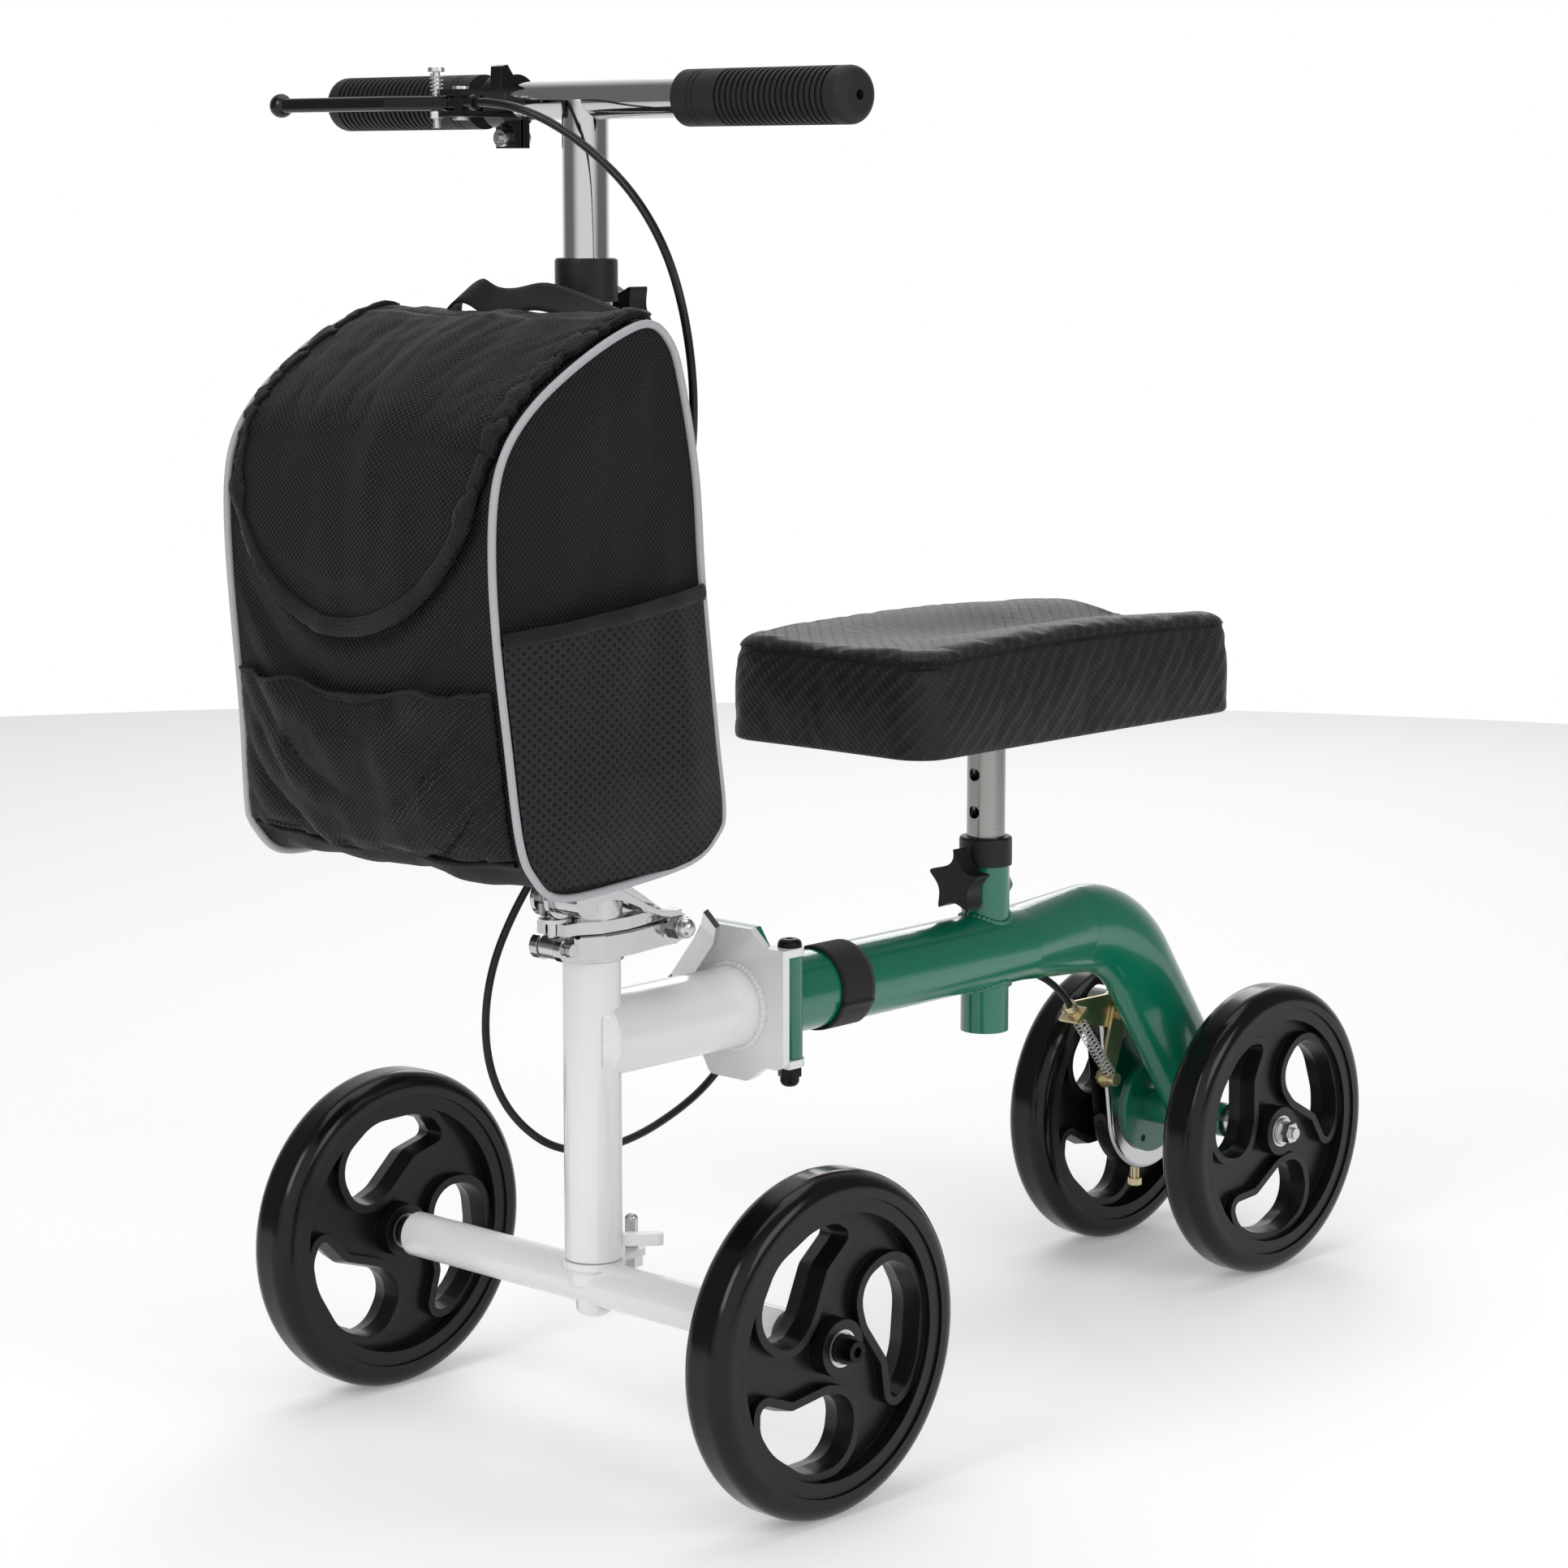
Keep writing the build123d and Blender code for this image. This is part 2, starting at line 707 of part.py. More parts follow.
keep(stem_clamp, "stem_clamp")

washer_bottom = clamp_plate_top + 1.5 * face_gap
with BuildPart() as eyebolt:
    with BuildSketch(side_plane(0)):
        with Locations((cross_pin_x, cross_pin_z)):
            Circle(7)
    extrude(amount=cross_ear_inner - 0.5, both=True)
    with BuildSketch(side_plane(0)):
        with Locations((cross_pin_x, cross_pin_z)):
            Circle(cross_pin_radius)
    extrude(amount=cross_ear_outer + 4, both=True)
    with BuildSketch(Plane.XY.offset(cross_pin_z)):
        with Locations((cross_pin_x, 0)):
            Circle(eyebolt_radius)
    extrude(amount=cam_pin_z - cross_pin_z)
    with BuildSketch(side_plane(0)):
        with Locations((cross_pin_x, cam_pin_z)):
            Circle(cam_pin_radius + 2.5)
    extrude(amount=4, both=True)
    with BuildSketch(side_plane(0)):
        with Locations((cross_pin_x, cam_pin_z)):
            Circle(cam_pin_radius)
    extrude(amount=11, both=True)

with BuildPart() as cam_washer:
    with BuildSketch(Plane.XY.offset(washer_bottom)):
        with Locations((cross_pin_x, 0)):
            Circle(9)
            Circle(eyebolt_radius, mode=Mode.SUBTRACT)
    extrude(amount=cam_pin_z - cam_radius - washer_bottom - face_gap)
keep_group((eyebolt, cam_washer), "eyebolt")

cam_half_width = 7.5
lever_side_y = 20.0
with BuildPart() as cam_lever:
    with BuildSketch(side_plane(0)):
        with Locations((cross_pin_x, cam_pin_z)):
            Circle(cam_radius)
    extrude(amount=cam_half_width, both=True)
    with BuildSketch(side_plane(cam_half_width)):
        with Locations((cross_pin_x, cam_pin_z)):
            Circle(cam_radius - 3)
    extrude(amount=-(lever_side_y - cam_half_width))
    with BuildSketch(side_plane(lever_side_y)):
        with Locations((cross_pin_x, cam_pin_z)):
            Circle(cam_radius - 3)
        with BuildLine():
            upper = Spline(
                (cross_pin_x, cam_pin_z + 7),
                (cross_pin_x - 30, cam_pin_z + 3),
                (cross_pin_x - 60, cam_pin_z - 12),
                (cross_pin_x - cam_lever_length, cam_pin_z - 14),
            )
            lower = Spline(
                (cross_pin_x - cam_lever_length, cam_pin_z - 17.5),
                (cross_pin_x - 60, cam_pin_z - 15.5),
                (cross_pin_x - 30, cam_pin_z - 3),
                (cross_pin_x, cam_pin_z - 5),
            )
            Line(upper @ 1, lower @ 0)
            Line(lower @ 1, upper @ 0)
        make_face()
    extrude(amount=-9)
    # slot for the eyebolt, open below and in front so that the lever can turn up
    with BuildSketch(side_plane(0)):
        with Locations((cross_pin_x - 6, cam_pin_z + 6)):
            Rectangle(2 * cam_radius, 2 * cam_radius, align=(Align.MIN, Align.MAX))
    extrude(amount=4.3, both=True, mode=Mode.SUBTRACT)
    with BuildSketch(side_plane(0)):
        with Locations((cross_pin_x, cam_pin_z)):
            Circle(cam_pin_radius + running_gap)
    extrude(amount=11, both=True, mode=Mode.SUBTRACT)
keep(cam_lever, "cam_lever")

# ---------------------------------------------------------------- stem
stem_tube_bottom = clamp_bottom + 3
knob_stud_radius = 4.0
stem_boss_radius = 8.0
stem_boss_length = 4.0
with BuildPart() as stem_tube:
    with BuildSketch(Plane.XY.offset(stem_tube_bottom)):
        Circle(stem_radius)
        Circle(stem_bore_radius, mode=Mode.SUBTRACT)
    extrude(amount=stem_top - stem_tube_bottom)
    # welded nut for the knob, behind
    with BuildSketch(front_plane(-stem_radius - stem_boss_length)):
        with Locations((0, stem_knob_z)):
            Circle(stem_boss_radius)
    extrude(amount=stem_boss_length + 1)
    with BuildSketch(Plane.XY.offset(stem_tube_bottom)):
        Circle(stem_bore_radius)
    extrude(amount=stem_top - stem_tube_bottom, mode=Mode.SUBTRACT)
    with BuildSketch(front_plane(-stem_radius - stem_boss_length)):
        with Locations((0, stem_knob_z)):
            Circle(knob_stud_radius + running_gap)
    extrude(amount=stem_radius, mode=Mode.SUBTRACT)
    with BuildSketch(front_plane(0)):
        with Locations((0, stem_bolt_z)):
            Circle(3)
    extrude(amount=stem_radius + 1, mode=Mode.SUBTRACT)
keep(stem_tube, "stem_tube")

with BuildPart() as stem_collar:
    with BuildSketch(Plane.XY.offset(stem_top)):
        Circle(collar_radius)
    extrude(amount=collar_height)
    with BuildSketch(Plane.XY.offset(stem_top - 6)):
        Circle(collar_radius)
    extrude(amount=6)
    fillet(stem_collar.faces().sort_by(Axis.Z)[-1].edges(), 2)
    with BuildSketch(Plane.XY.offset(stem_top - 6)):
        Circle(stem_radius)
    extrude(amount=6, mode=Mode.SUBTRACT)
    with BuildSketch(Plane.XY.offset(stem_top - 6)):
        Circle(upper_tube_radius + seat_slide_gap)
    extrude(amount=collar_height + 6, mode=Mode.SUBTRACT)
keep(stem_collar, "stem_collar")

with BuildPart() as stem_bolt:
    with BuildSketch(front_plane(stem_radius)):
        with Locations((0, stem_bolt_z)):
            RegularPolygon(6.5, 6)
    extrude(amount=5)
    with BuildSketch(front_plane(stem_bore_radius + 0.2)):
        with Locations((0, stem_bolt_z)):
            Circle(3)
    extrude(amount=stem_radius - stem_bore_radius + 1)
keep(stem_bolt, "stem_bolt")


def star_outline(radius, lobes=5, waist=0.62):
    """Points round a star knob, a lobe tip and a waist by turns."""
    steps = 2 * lobes
    reach = [radius if step % 2 == 0 else radius * waist for step in range(steps)]
    angles = [math.pi * step / lobes + math.pi / 2 for step in range(steps)]
    return [(r * math.cos(a), r * math.sin(a)) for r, a in zip(reach, angles)]


def knob_on(plane, stud_length):
    """A star knob whose back lies on the plane, with its stud behind it."""
    with BuildPart() as knob:
        with BuildSketch(plane):
            with BuildLine():
                Spline(*star_outline(knob_radius), periodic=True)
            make_face()
        extrude(amount=knob_thickness)
        with BuildSketch(plane.offset(-3)):
            Circle(7)
        extrude(amount=3)
        with BuildSketch(plane.offset(-stud_length)):
            Circle(knob_stud_radius)
        extrude(amount=stud_length)
    return knob


stem_knob_reach = stem_radius + stem_boss_length + knob_stand_off
stem_knob_back = Plane(origin=(-stem_knob_reach, 0, stem_knob_z), x_dir=(0, 1, 0), z_dir=(-1, 0, 0))
stem_knob = knob_on(stem_knob_back, stem_knob_reach - upper_tube_radius - stud_gap)
keep(stem_knob, "stem_knob")

# ---------------------------------------------------------------- bag
# corners of the bag's side outline, forward and up, each with its round: it leans back and has a domed top
bag_corners = (
    ((22, 369), 18),
    ((165, 369), 24),
    ((184, 612), 62),
    ((128, 656), 120),
    ((64, 682), 12),
    ((36, 655), 36),
)


def bag_outline():
    """The edges of the bag's side outline, in the side plane."""
    corners = [corner for corner, _ in bag_corners]
    rounds = [rounding for _, rounding in bag_corners]
    with BuildLine() as outline:
        FilletPolyline(*corners, radius=rounds, close=True)
    return outline.edges()


with BuildPart() as bag_body:
    with BuildSketch(side_plane(0)):
        make_face(bag_outline())
    extrude(amount=bag_half_width, both=True)
    with BuildSketch(side_plane(0)):
        make_face(bag_outline())
        offset(amount=-bag_wall, mode=Mode.REPLACE)
    extrude(amount=bag_half_width - bag_wall, both=True, mode=Mode.SUBTRACT)
    # mouth under the lid, from behind the domed top down to the upper front
    with BuildSketch(side_plane(0)):
        with BuildLine():
            Polyline((66, 668), (66, 700), (200, 700), (200, 600), (176, 600), close=True)
        make_face()
    extrude(amount=bag_opening_half_width, both=True, mode=Mode.SUBTRACT)
keep(bag_body, "bag_body")

with BuildPart() as bag_lid:
    with BuildSketch(side_plane(0)):
        make_face(bag_outline())
        offset(amount=lid_gap + lid_wall, mode=Mode.REPLACE)
    extrude(amount=lid_half_width, both=True)
    with BuildSketch(side_plane(0)):
        make_face(bag_outline())
        offset(amount=lid_gap, mode=Mode.REPLACE)
    extrude(amount=lid_half_width, both=True, mode=Mode.SUBTRACT)
    with BuildSketch(side_plane(0)):
        with BuildLine():
            Polyline((64, 660), (64, 720), (220, 720), (220, lid_bottom_z), (150, lid_bottom_z), close=True)
        make_face()
    extrude(amount=lid_half_width, both=True, mode=Mode.INTERSECT)
    # round the tongue that hangs down the front
    with BuildSketch(front_plane(lid_hinge_x + 30)):
        with Locations((0, lid_bottom_z - 1)):
            Rectangle(2 * lid_half_width + 2, 100, align=(Align.CENTER, Align.MIN))
        with BuildSketch(mode=Mode.SUBTRACT) as tongue:
            with Locations((0, lid_bottom_z)):
                Rectangle(2 * lid_half_width, 250, align=(Align.CENTER, Align.MIN))
            fillet(tongue.vertices().group_by(Axis.Y)[0], 70)
    extrude(amount=150, mode=Mode.SUBTRACT)
keep(bag_lid, "bag_lid")

strap_width = 25.0
strap_thickness = 2.3
strap_bottoms = (430.0, 600.0)
handle_rear_x = 42.0
handle_width = 18.0
with BuildPart() as bag_straps:
    # two loops round the stem
    for low in strap_bottoms:
        with BuildSketch(Plane.XY.offset(low)):
            Circle(stem_radius + strap_thickness)
            Rectangle(40, 22, align=(Align.MIN, Align.CENTER))
        extrude(amount=strap_width)
    with BuildSketch(Plane.XY.offset(strap_bottoms[0])):
        Circle(stem_radius)
    extrude(amount=strap_bottoms[1] + strap_width - strap_bottoms[0], mode=Mode.SUBTRACT)
    # carry handle over the top
    with BuildSketch(front_plane(handle_rear_x)):
        with BuildLine():
            FilletPolyline((-60, 668), (-54, 698), (8, 694), (66, 684), (74, 668), radius=(8, 60, 14))
        trace(line_width=strap_thickness)
    extrude(amount=handle_width)
    with BuildSketch(side_plane(0)):
        make_face(bag_outline())
    extrude(amount=bag_half_width, both=True, mode=Mode.SUBTRACT)
keep(bag_straps, "bag_straps")

# ---------------------------------------------------------------- handlebar
with BuildPart() as handlebar:
    with BuildSketch(side_plane(0)):
        with Locations((0, bar_z)):
            Circle(bar_radius)
    extrude(amount=bar_half_length, both=True)
    with BuildSketch(Plane.XY.offset(upper_tube_bottom)):
        Circle(upper_tube_radius)
    extrude(amount=bar_z - upper_tube_bottom)
    with BuildSketch(Plane.XY.offset(upper_tube_bottom)):
        Circle(upper_tube_radius - bar_wall)
    extrude(amount=bar_z - upper_tube_bottom, mode=Mode.SUBTRACT)
    with BuildSketch(side_plane(0)):
        with Locations((0, bar_z)):
            Circle(bar_radius)
    extrude(amount=upper_tube_radius, both=True)
    with BuildSketch(side_plane(0)):
        with Locations((0, bar_z)):
            Circle(bar_radius - bar_wall)
    extrude(amount=bar_half_length, both=True, mode=Mode.SUBTRACT)
keep(handlebar, "handlebar")

grip_end_wall = 6.0
grip_ribs = 20
grip_rib_pitch = 4.2
grip_rib_depth = 1.5
grip_inner_y = bar_half_length + grip_end_wall - grip_length
with BuildPart() as grips:
    for side in (1, -1):
        with BuildSketch(Plane.XY.offset(bar_z)) as grip_section:
            with Locations((0, side * grip_inner_y)):
                Rectangle(
                    grip_radius,
                    grip_length,
                    align=(Align.MIN, Align.MIN if side > 0 else Align.MAX),
                )
            outer = grip_section.vertices().group_by(Axis.X)[-1].sort_by(Axis.Y)
            fillet(outer[-1] if side > 0 else outer[0], 7)
            with Locations((0, side * grip_inner_y)):
                Rectangle(
                    bar_radius,
                    grip_length - grip_end_wall,
                    align=(Align.MIN, Align.MIN if side > 0 else Align.MAX),
                    mode=Mode.SUBTRACT,
                )
            # end hole, two fine grooves, then the ribs
            with Locations((0, side * (bar_half_length + grip_end_wall))):
                Rectangle(3, 2 * grip_end_wall + 2, align=(Align.MIN, Align.CENTER), mode=Mode.SUBTRACT)
            with Locations(
                (grip_radius, side * (grip_inner_y + 12)),
                (grip_radius, side * (grip_inner_y + 16)),
            ):
                Rectangle(1, 1, mode=Mode.SUBTRACT)
            for rib in range(grip_ribs):
                with Locations((grip_radius, side * (grip_inner_y + 34 + grip_rib_pitch * rib))):
                    Rectangle(2 * grip_rib_depth, 0.45 * grip_rib_pitch, mode=Mode.SUBTRACT)
        revolve(axis=Axis((0, 0, bar_z), (0, 1, 0)))
keep(grips, "grips")

# ---------------------------------------------------------------- brake lever
lever_low = lever_z - lever_thickness / 2
fork_gap = 0.3
bracket_right_y = bracket_y - 8
bracket_left_y = bracket_y + 8
bracket_low = lever_low - fork_gap - 3.2
bracket_high = lever_low + lever_thickness + fork_gap + 3.2
barrel_y = bracket_left_y + 14
with BuildPart() as brake_bracket:
    with BuildSketch(side_plane(bracket_left_y)):
        with Locations((0, bar_z)):
            Circle(bar_radius + 4.5)
        with Locations((-3, bar_z - bar_radius - 2)):
            Rectangle(12, 14, align=(Align.CENTER, Align.MAX))
    extrude(amount=bracket_left_y - bracket_right_y)
    with BuildSketch(Plane.XY.offset(bracket_low)) as arm_outline:
        with Locations((0, bracket_y)):
            Rectangle(lever_pivot_x + 9, 16, align=(Align.MIN, Align.CENTER))
        with Locations((lever_pivot_x + 3, bracket_left_y)):
            Rectangle(10, 6, align=(Align.MIN, Align.MIN))
    extrude(amount=bracket_high - bracket_low)
    with BuildSketch(Plane.XY.offset(lever_low - fork_gap)):
        with Locations((lever_pivot_x - 10, bracket_left_y + 0.5)):
            Rectangle(40, 40, align=(Align.MIN, Align.MAX))
    extrude(amount=lever_thickness + 2 * fork_gap, mode=Mode.SUBTRACT)
    # cable barrel and a finger tab over the clamp
    with BuildSketch(side_plane(bracket_left_y + 1)):
        with Locations((lever_pivot_x + 8, lever_z)):
            Circle(4.5)
    extrude(amount=bracket_left_y + 1 - barrel_y)
    with BuildSketch(side_plane(bracket_left_y)):
        with BuildLine():
            Polyline(
                (2, bar_z + 13),
                (8, bar_z + 21),
                (13, bar_z + 20),
                (14, bar_z + 5),
                (2, bar_z + 5),
                close=True,
            )
        make_face()
    extrude(amount=9)
    with BuildSketch(side_plane(bracket_left_y + 1)):
        with Locations((0, bar_z)):
            Circle(bar_radius)
    extrude(amount=20, mode=Mode.SUBTRACT)
    with BuildSketch(side_plane(bracket_left_y + 1)):
        with Locations((-3, bar_z - bar_radius + 2)):
            Rectangle(2, 26, align=(Align.CENTER, Align.MAX))
    extrude(amount=20, mode=Mode.SUBTRACT)
    with BuildSketch(Plane.XY.offset(bracket_low)):
        with Locations((lever_pivot_x, bracket_y)):
            Circle(lever_pin_radius)
    extrude(amount=bracket_high - bracket_low, mode=Mode.SUBTRACT)
    with BuildSketch(front_plane(-20)):
        with Locations((bracket_y, bar_z - bar_radius - 10)):
            Circle(2.5)
    extrude(amount=40, mode=Mode.SUBTRACT)
keep(brake_bracket, "brake_bracket")

with BuildPart() as clamp_screw:
    with BuildSketch(front_plane(-13)):
        with Locations((bracket_y, bar_z - bar_radius - 10)):
            Circle(2.5)
    extrude(amount=23)
    for start, length in ((-13, 4), (3, 5)):
        with BuildSketch(front_plane(start)):
            with Locations((bracket_y, bar_z - bar_radius - 10)):
                Circle(5)
        extrude(amount=length)

with BuildPart() as lever_pin:
    with BuildSketch(Plane.XY.offset(bracket_low - 2)):
        with Locations((lever_pivot_x, bracket_y)):
            Circle(lever_pin_radius)
    extrude(amount=bracket_high - bracket_low + 4)
    for low in (bracket_low - 2, bracket_high):
        with BuildSketch(Plane.XY.offset(low)):
            with Locations((lever_pivot_x, bracket_y)):
                Circle(lever_pin_radius + 1.8)
        extrude(amount=2)
keep_group((lever_pin, clamp_screw), "bracket_pins")

with BuildPart() as brake_lever:
    with BuildSketch(Plane.XY.offset(lever_low)) as blade:
        with Locations((lever_pivot_x, bracket_y)):
            Circle(8)
        with BuildLine():
            Polyline(
                (lever_pivot_x - 6, bracket_y - 5),
                (lever_pivot_x + 6, bracket_y - 5),
                (lever_end_x + 2, bracket_y - 45),
                (lever_end_x + 4.5, lever_end_y),
                (lever_end_x - 4.5, lever_end_y),
                (lever_end_x - 7, bracket_y - 45),
                (lever_pivot_x - 5, bracket_y - 16),
                close=True,
            )
        make_face()
    extrude(amount=lever_thickness)
    fillet(brake_lever.edges().filter_by(Axis.Z).sort_by(Axis.Y)[2:6], 3)
    rims = brake_lever.faces().filter_by(Axis.Z).edges()
    fillet(rims.filter_by(lambda edge: edge.center().Y < bracket_y - 20), 2.6)
    with Locations((lever_end_x, lever_end_y, lever_z)):
        Sphere(7.2)
    with BuildSketch(Plane.XY.offset(lever_low)):
        with Locations((lever_pivot_x, bracket_y)):
            Circle(lever_pin_radius + running_gap)
        with Locations((button_x, button_y)):
            Circle(button_radius + running_gap)
    extrude(amount=lever_thickness, mode=Mode.SUBTRACT)
keep(brake_lever, "brake_lever")

with BuildPart() as lock_button:
    with BuildSketch(Plane.XY.offset(lever_low - 10)):
        with Locations((button_x, button_y)):
            Circle(button_radius)
    extrude(amount=button_top - lever_low + 10)
    with BuildSketch(Plane.XY.offset(button_top - 2.4)):
        with Locations((button_x, button_y)):
            Circle(5)
    extrude(amount=2.4)
    with BuildSketch(Plane.XY.offset(lever_low - 4.5)):
        with Locations((button_x, button_y)):
            RegularPolygon(4, 6)
    extrude(amount=4)
keep(lock_button, "lock_button")


def coil_spring(plane, radius, wire, turns, height):
    """A round-wire compression spring standing on the plane."""
    with BuildPart() as standing:
        with BuildLine():
            coil = Helix(pitch=height / turns, height=height, radius=radius)
        with BuildSketch(Plane(origin=coil @ 0, z_dir=coil % 0)):
            Circle(wire / 2)
        sweep(path=coil, is_frenet=True)
    with BuildPart() as spring:
        add(standing.part.moved(plane.location))
    return spring


button_spring_height = button_top - 2.4 - lever_low - lever_thickness - 2.4
button_spring_plane = Plane(origin=(button_x, button_y, lever_low + lever_thickness + 1.2))
lock_spring = coil_spring(button_spring_plane, 3.5, 0.7, 5, button_spring_height)
keep(lock_spring, "lock_spring")

# ---------------------------------------------------------------- rear frame
rear_plate_x = plate_back_x - plate_gap
rear_plate_left_y = ear_right_y - 0.5


def rear_run(inset, run_length):
    """The beam behind the seat tube: squashed taller, then bent down. Moved in all round by the inset."""
    half_width = squash_half_width - inset
    half_depth = squash_half_depth - inset
    with BuildPart() as squashed:
        with BuildSketch(front_plane(squash_start_x)):
            with Locations((0, beam_z)):
                Circle(beam_radius - inset)
        with BuildSketch(front_plane(bend_start_x)):
            with Locations((0, beam_z)):
                Ellipse(half_width, half_depth)
        loft()
    with BuildPart() as bent:
        with BuildLine(Plane.XZ) as path:
            bend = CenterArc((bend_start_x, beam_z - bend_radius), bend_radius, 90, bend_angle)
            PolarLine(bend @ 1, run_length, direction=bend % 1)
        with BuildSketch(front_plane(bend_start_x)):
            with Locations((0, beam_z)):
                Ellipse(half_width, half_depth)
        sweep(path=path.line)
    return squashed.part, bent.part


axle_z = wheel_radius
spacer_length = 13.0
axle_tube_left_y = rear_half_track - hub_half_width - spacer_length
flange_thickness = 3.5
flange_y = cover_face_y + cover_wall
with BuildPart() as rear_frame:
    with BuildSketch(front_plane(squash_start_x)):
        with Locations((0, beam_z)):
            Circle(beam_radius)
    extrude(amount=rear_plate_x - plate_thickness / 2 - squash_start_x)
    add(rear_run(0, beam_end_run))
    # inside of the beam
    with BuildSketch(front_plane(squash_start_x)):
        with Locations((0, beam_z)):
            Circle(beam_radius - beam_wall)
    extrude(amount=rear_plate_x - squash_start_x, mode=Mode.SUBTRACT)
    add(rear_run(beam_wall, beam_end_run - beam_wall), mode=Mode.SUBTRACT)
    with BuildSketch(Plane.XY.offset(seat_tube_bottom)):
        with Locations((seat_tube_x, 0)):
            Circle(seat_tube_radius)
    extrude(amount=seat_tube_top - seat_tube_bottom)
    # hinge plate, barrel and the web between them
    with BuildSketch(front_plane(rear_plate_x)) as rear_plate_face:
        with BuildLine():
            Polyline(
                (plate_right_y, latch_z - 15),
                (plate_right_y, latch_z + 12),
                (-26, plate_top_z),
                (12, plate_top_z),
                (rear_plate_left_y, hinge_top_z - 1),
                (rear_plate_left_y, hinge_bottom_z + 1),
                (10, plate_bottom_z),
                (-20, plate_bottom_z),
                close=True,
            )
        make_face()
        fillet(rear_plate_face.vertices().sort_by(Axis.Y)[:4], 6)
        with Locations((0, beam_z)):
            Circle(9, mode=Mode.SUBTRACT)
        with Locations((latch_y, latch_z)):
            Circle(5.6, mode=Mode.SUBTRACT)
        with Locations((latch_y, latch_z)):
            Rectangle(20, 11.2, align=(Align.MAX, Align.CENTER), mode=Mode.SUBTRACT)
    extrude(amount=-plate_thickness)
    with BuildSketch(Plane.XY.offset(hinge_bottom_z + face_gap)):
        with Locations((hinge_x, hinge_y)):
            Circle(barrel_radius)
        with Locations((rear_plate_x - plate_thickness, rear_plate_left_y - 4)):
            Rectangle(plate_thickness, hinge_y - rear_plate_left_y + 4, align=(Align.MIN, Align.MIN))
    extrude(amount=barrel_height - 2 * face_gap)
    with BuildSketch(Plane.XY.offset(hinge_bottom_z)):
        with Locations((hinge_x, hinge_y)):
            Circle(hinge_pin_radius + running_gap)
    extrude(amount=barrel_height, mode=Mode.SUBTRACT)
    # rear axle tube and the flange beside the brake
    with BuildSketch(side_plane(axle_tube_left_y)):
        with Locations((-wheel_base, axle_z)):
            Circle(rear_axle_tube_radius)
    extrude(amount=axle_tube_left_y - flange_y)
    with BuildSketch(side_plane(flange_y + flange_thickness)):
        with Locations((-wheel_base, axle_z)):
            Circle(flange_radius)
            with PolarLocations(flange_radius - 8, 4, start_angle=30):
                Circle(2.6, mode=Mode.SUBTRACT)
    extrude(amount=flange_thickness)
    with BuildSketch(side_plane(axle_tube_left_y)):
        with Locations((-wheel_base, axle_z)):
            Circle(axle_radius)
    extrude(amount=axle_tube_left_y - flange_y, mode=Mode.SUBTRACT)
    # seat tube bore
    with BuildSketch(Plane.XY.offset(seat_tube_bottom)):
        with Locations((seat_tube_x, 0)):
            Circle(seat_post_radius + seat_slide_gap)
    extrude(amount=seat_tube_top - seat_tube_bottom, mode=Mode.SUBTRACT)
    with BuildSketch(front_plane(seat_tube_x)):
        with Locations((0, seat_knob_z)):
            Circle(knob_stud_radius + running_gap)
    extrude(amount=seat_tube_radius + 1, mode=Mode.SUBTRACT)
    with BuildSketch(front_plane(seat_tube_x)):
        with Locations((0, seat_bolt_z)):
            Circle(3)
    extrude(amount=-seat_tube_radius - 1, mode=Mode.SUBTRACT)
keep(rear_frame, "rear_frame")

# ---------------------------------------------------------------- seat
with BuildPart() as seat_collar:
    with BuildSketch(Plane.XY.offset(seat_tube_top)):
        with Locations((seat_tube_x, 0)):
            Circle(seat_tube_radius + 1.5)
    extrude(amount=seat_collar_height)
    fillet(seat_collar.faces().sort_by(Axis.Z)[-1].edges(), 2)
    with BuildSketch(Plane.XY.offset(seat_tube_top)):
        with Locations((seat_tube_x, 0)):
            Circle(seat_post_radius + seat_slide_gap)
    extrude(amount=seat_collar_height, mode=Mode.SUBTRACT)
keep(seat_collar, "seat_collar")

with BuildPart() as seat_bolt:
    with BuildSketch(front_plane(seat_tube_x - seat_tube_radius)):
        with Locations((0, seat_bolt_z)):
            RegularPolygon(6.5, 6)
    extrude(amount=-5)
    with BuildSketch(front_plane(seat_tube_x - seat_post_radius - stud_gap)):
        with Locations((0, seat_bolt_z)):
            Circle(3)
    extrude(amount=-(seat_tube_radius - seat_post_radius))
keep(seat_bolt, "seat_bolt")

seat_knob_back = Plane(
    origin=(seat_tube_x + seat_tube_radius + knob_stand_off, 0, seat_knob_z),
    x_dir=(0, 1, 0),
    z_dir=(1, 0, 0),
)
seat_knob = knob_on(seat_knob_back, seat_tube_radius + knob_stand_off - seat_post_radius - stud_gap)
keep(seat_knob, "seat_knob")

post_hole_radius = 4.25
post_hole_pitch = 25.0
with BuildPart() as seat_post:
    with BuildSketch(Plane.XY.offset(seat_post_bottom)):
        with Locations((seat_tube_x, 0)):
            Circle(seat_post_radius)
            Circle(seat_post_radius - seat_post_wall, mode=Mode.SUBTRACT)
    extrude(amount=pad_plate_z - seat_post_bottom)
    for step in range(6):
        with BuildSketch(front_plane(seat_tube_x)):
            with Locations((0, seat_post_bottom + 31 + post_hole_pitch * step)):
                Circle(post_hole_radius)
        extrude(amount=seat_post_radius + 1, both=True, mode=Mode.SUBTRACT)
    with BuildSketch(Plane.XY.offset(pad_plate_z)) as pad_plate:
        with Locations((seat_tube_x, 0)):
            Rectangle(150, 100)
        fillet(pad_plate.vertices(), 8)
    extrude(amount=pad_plate_thickness)
keep(seat_post, "seat_post")


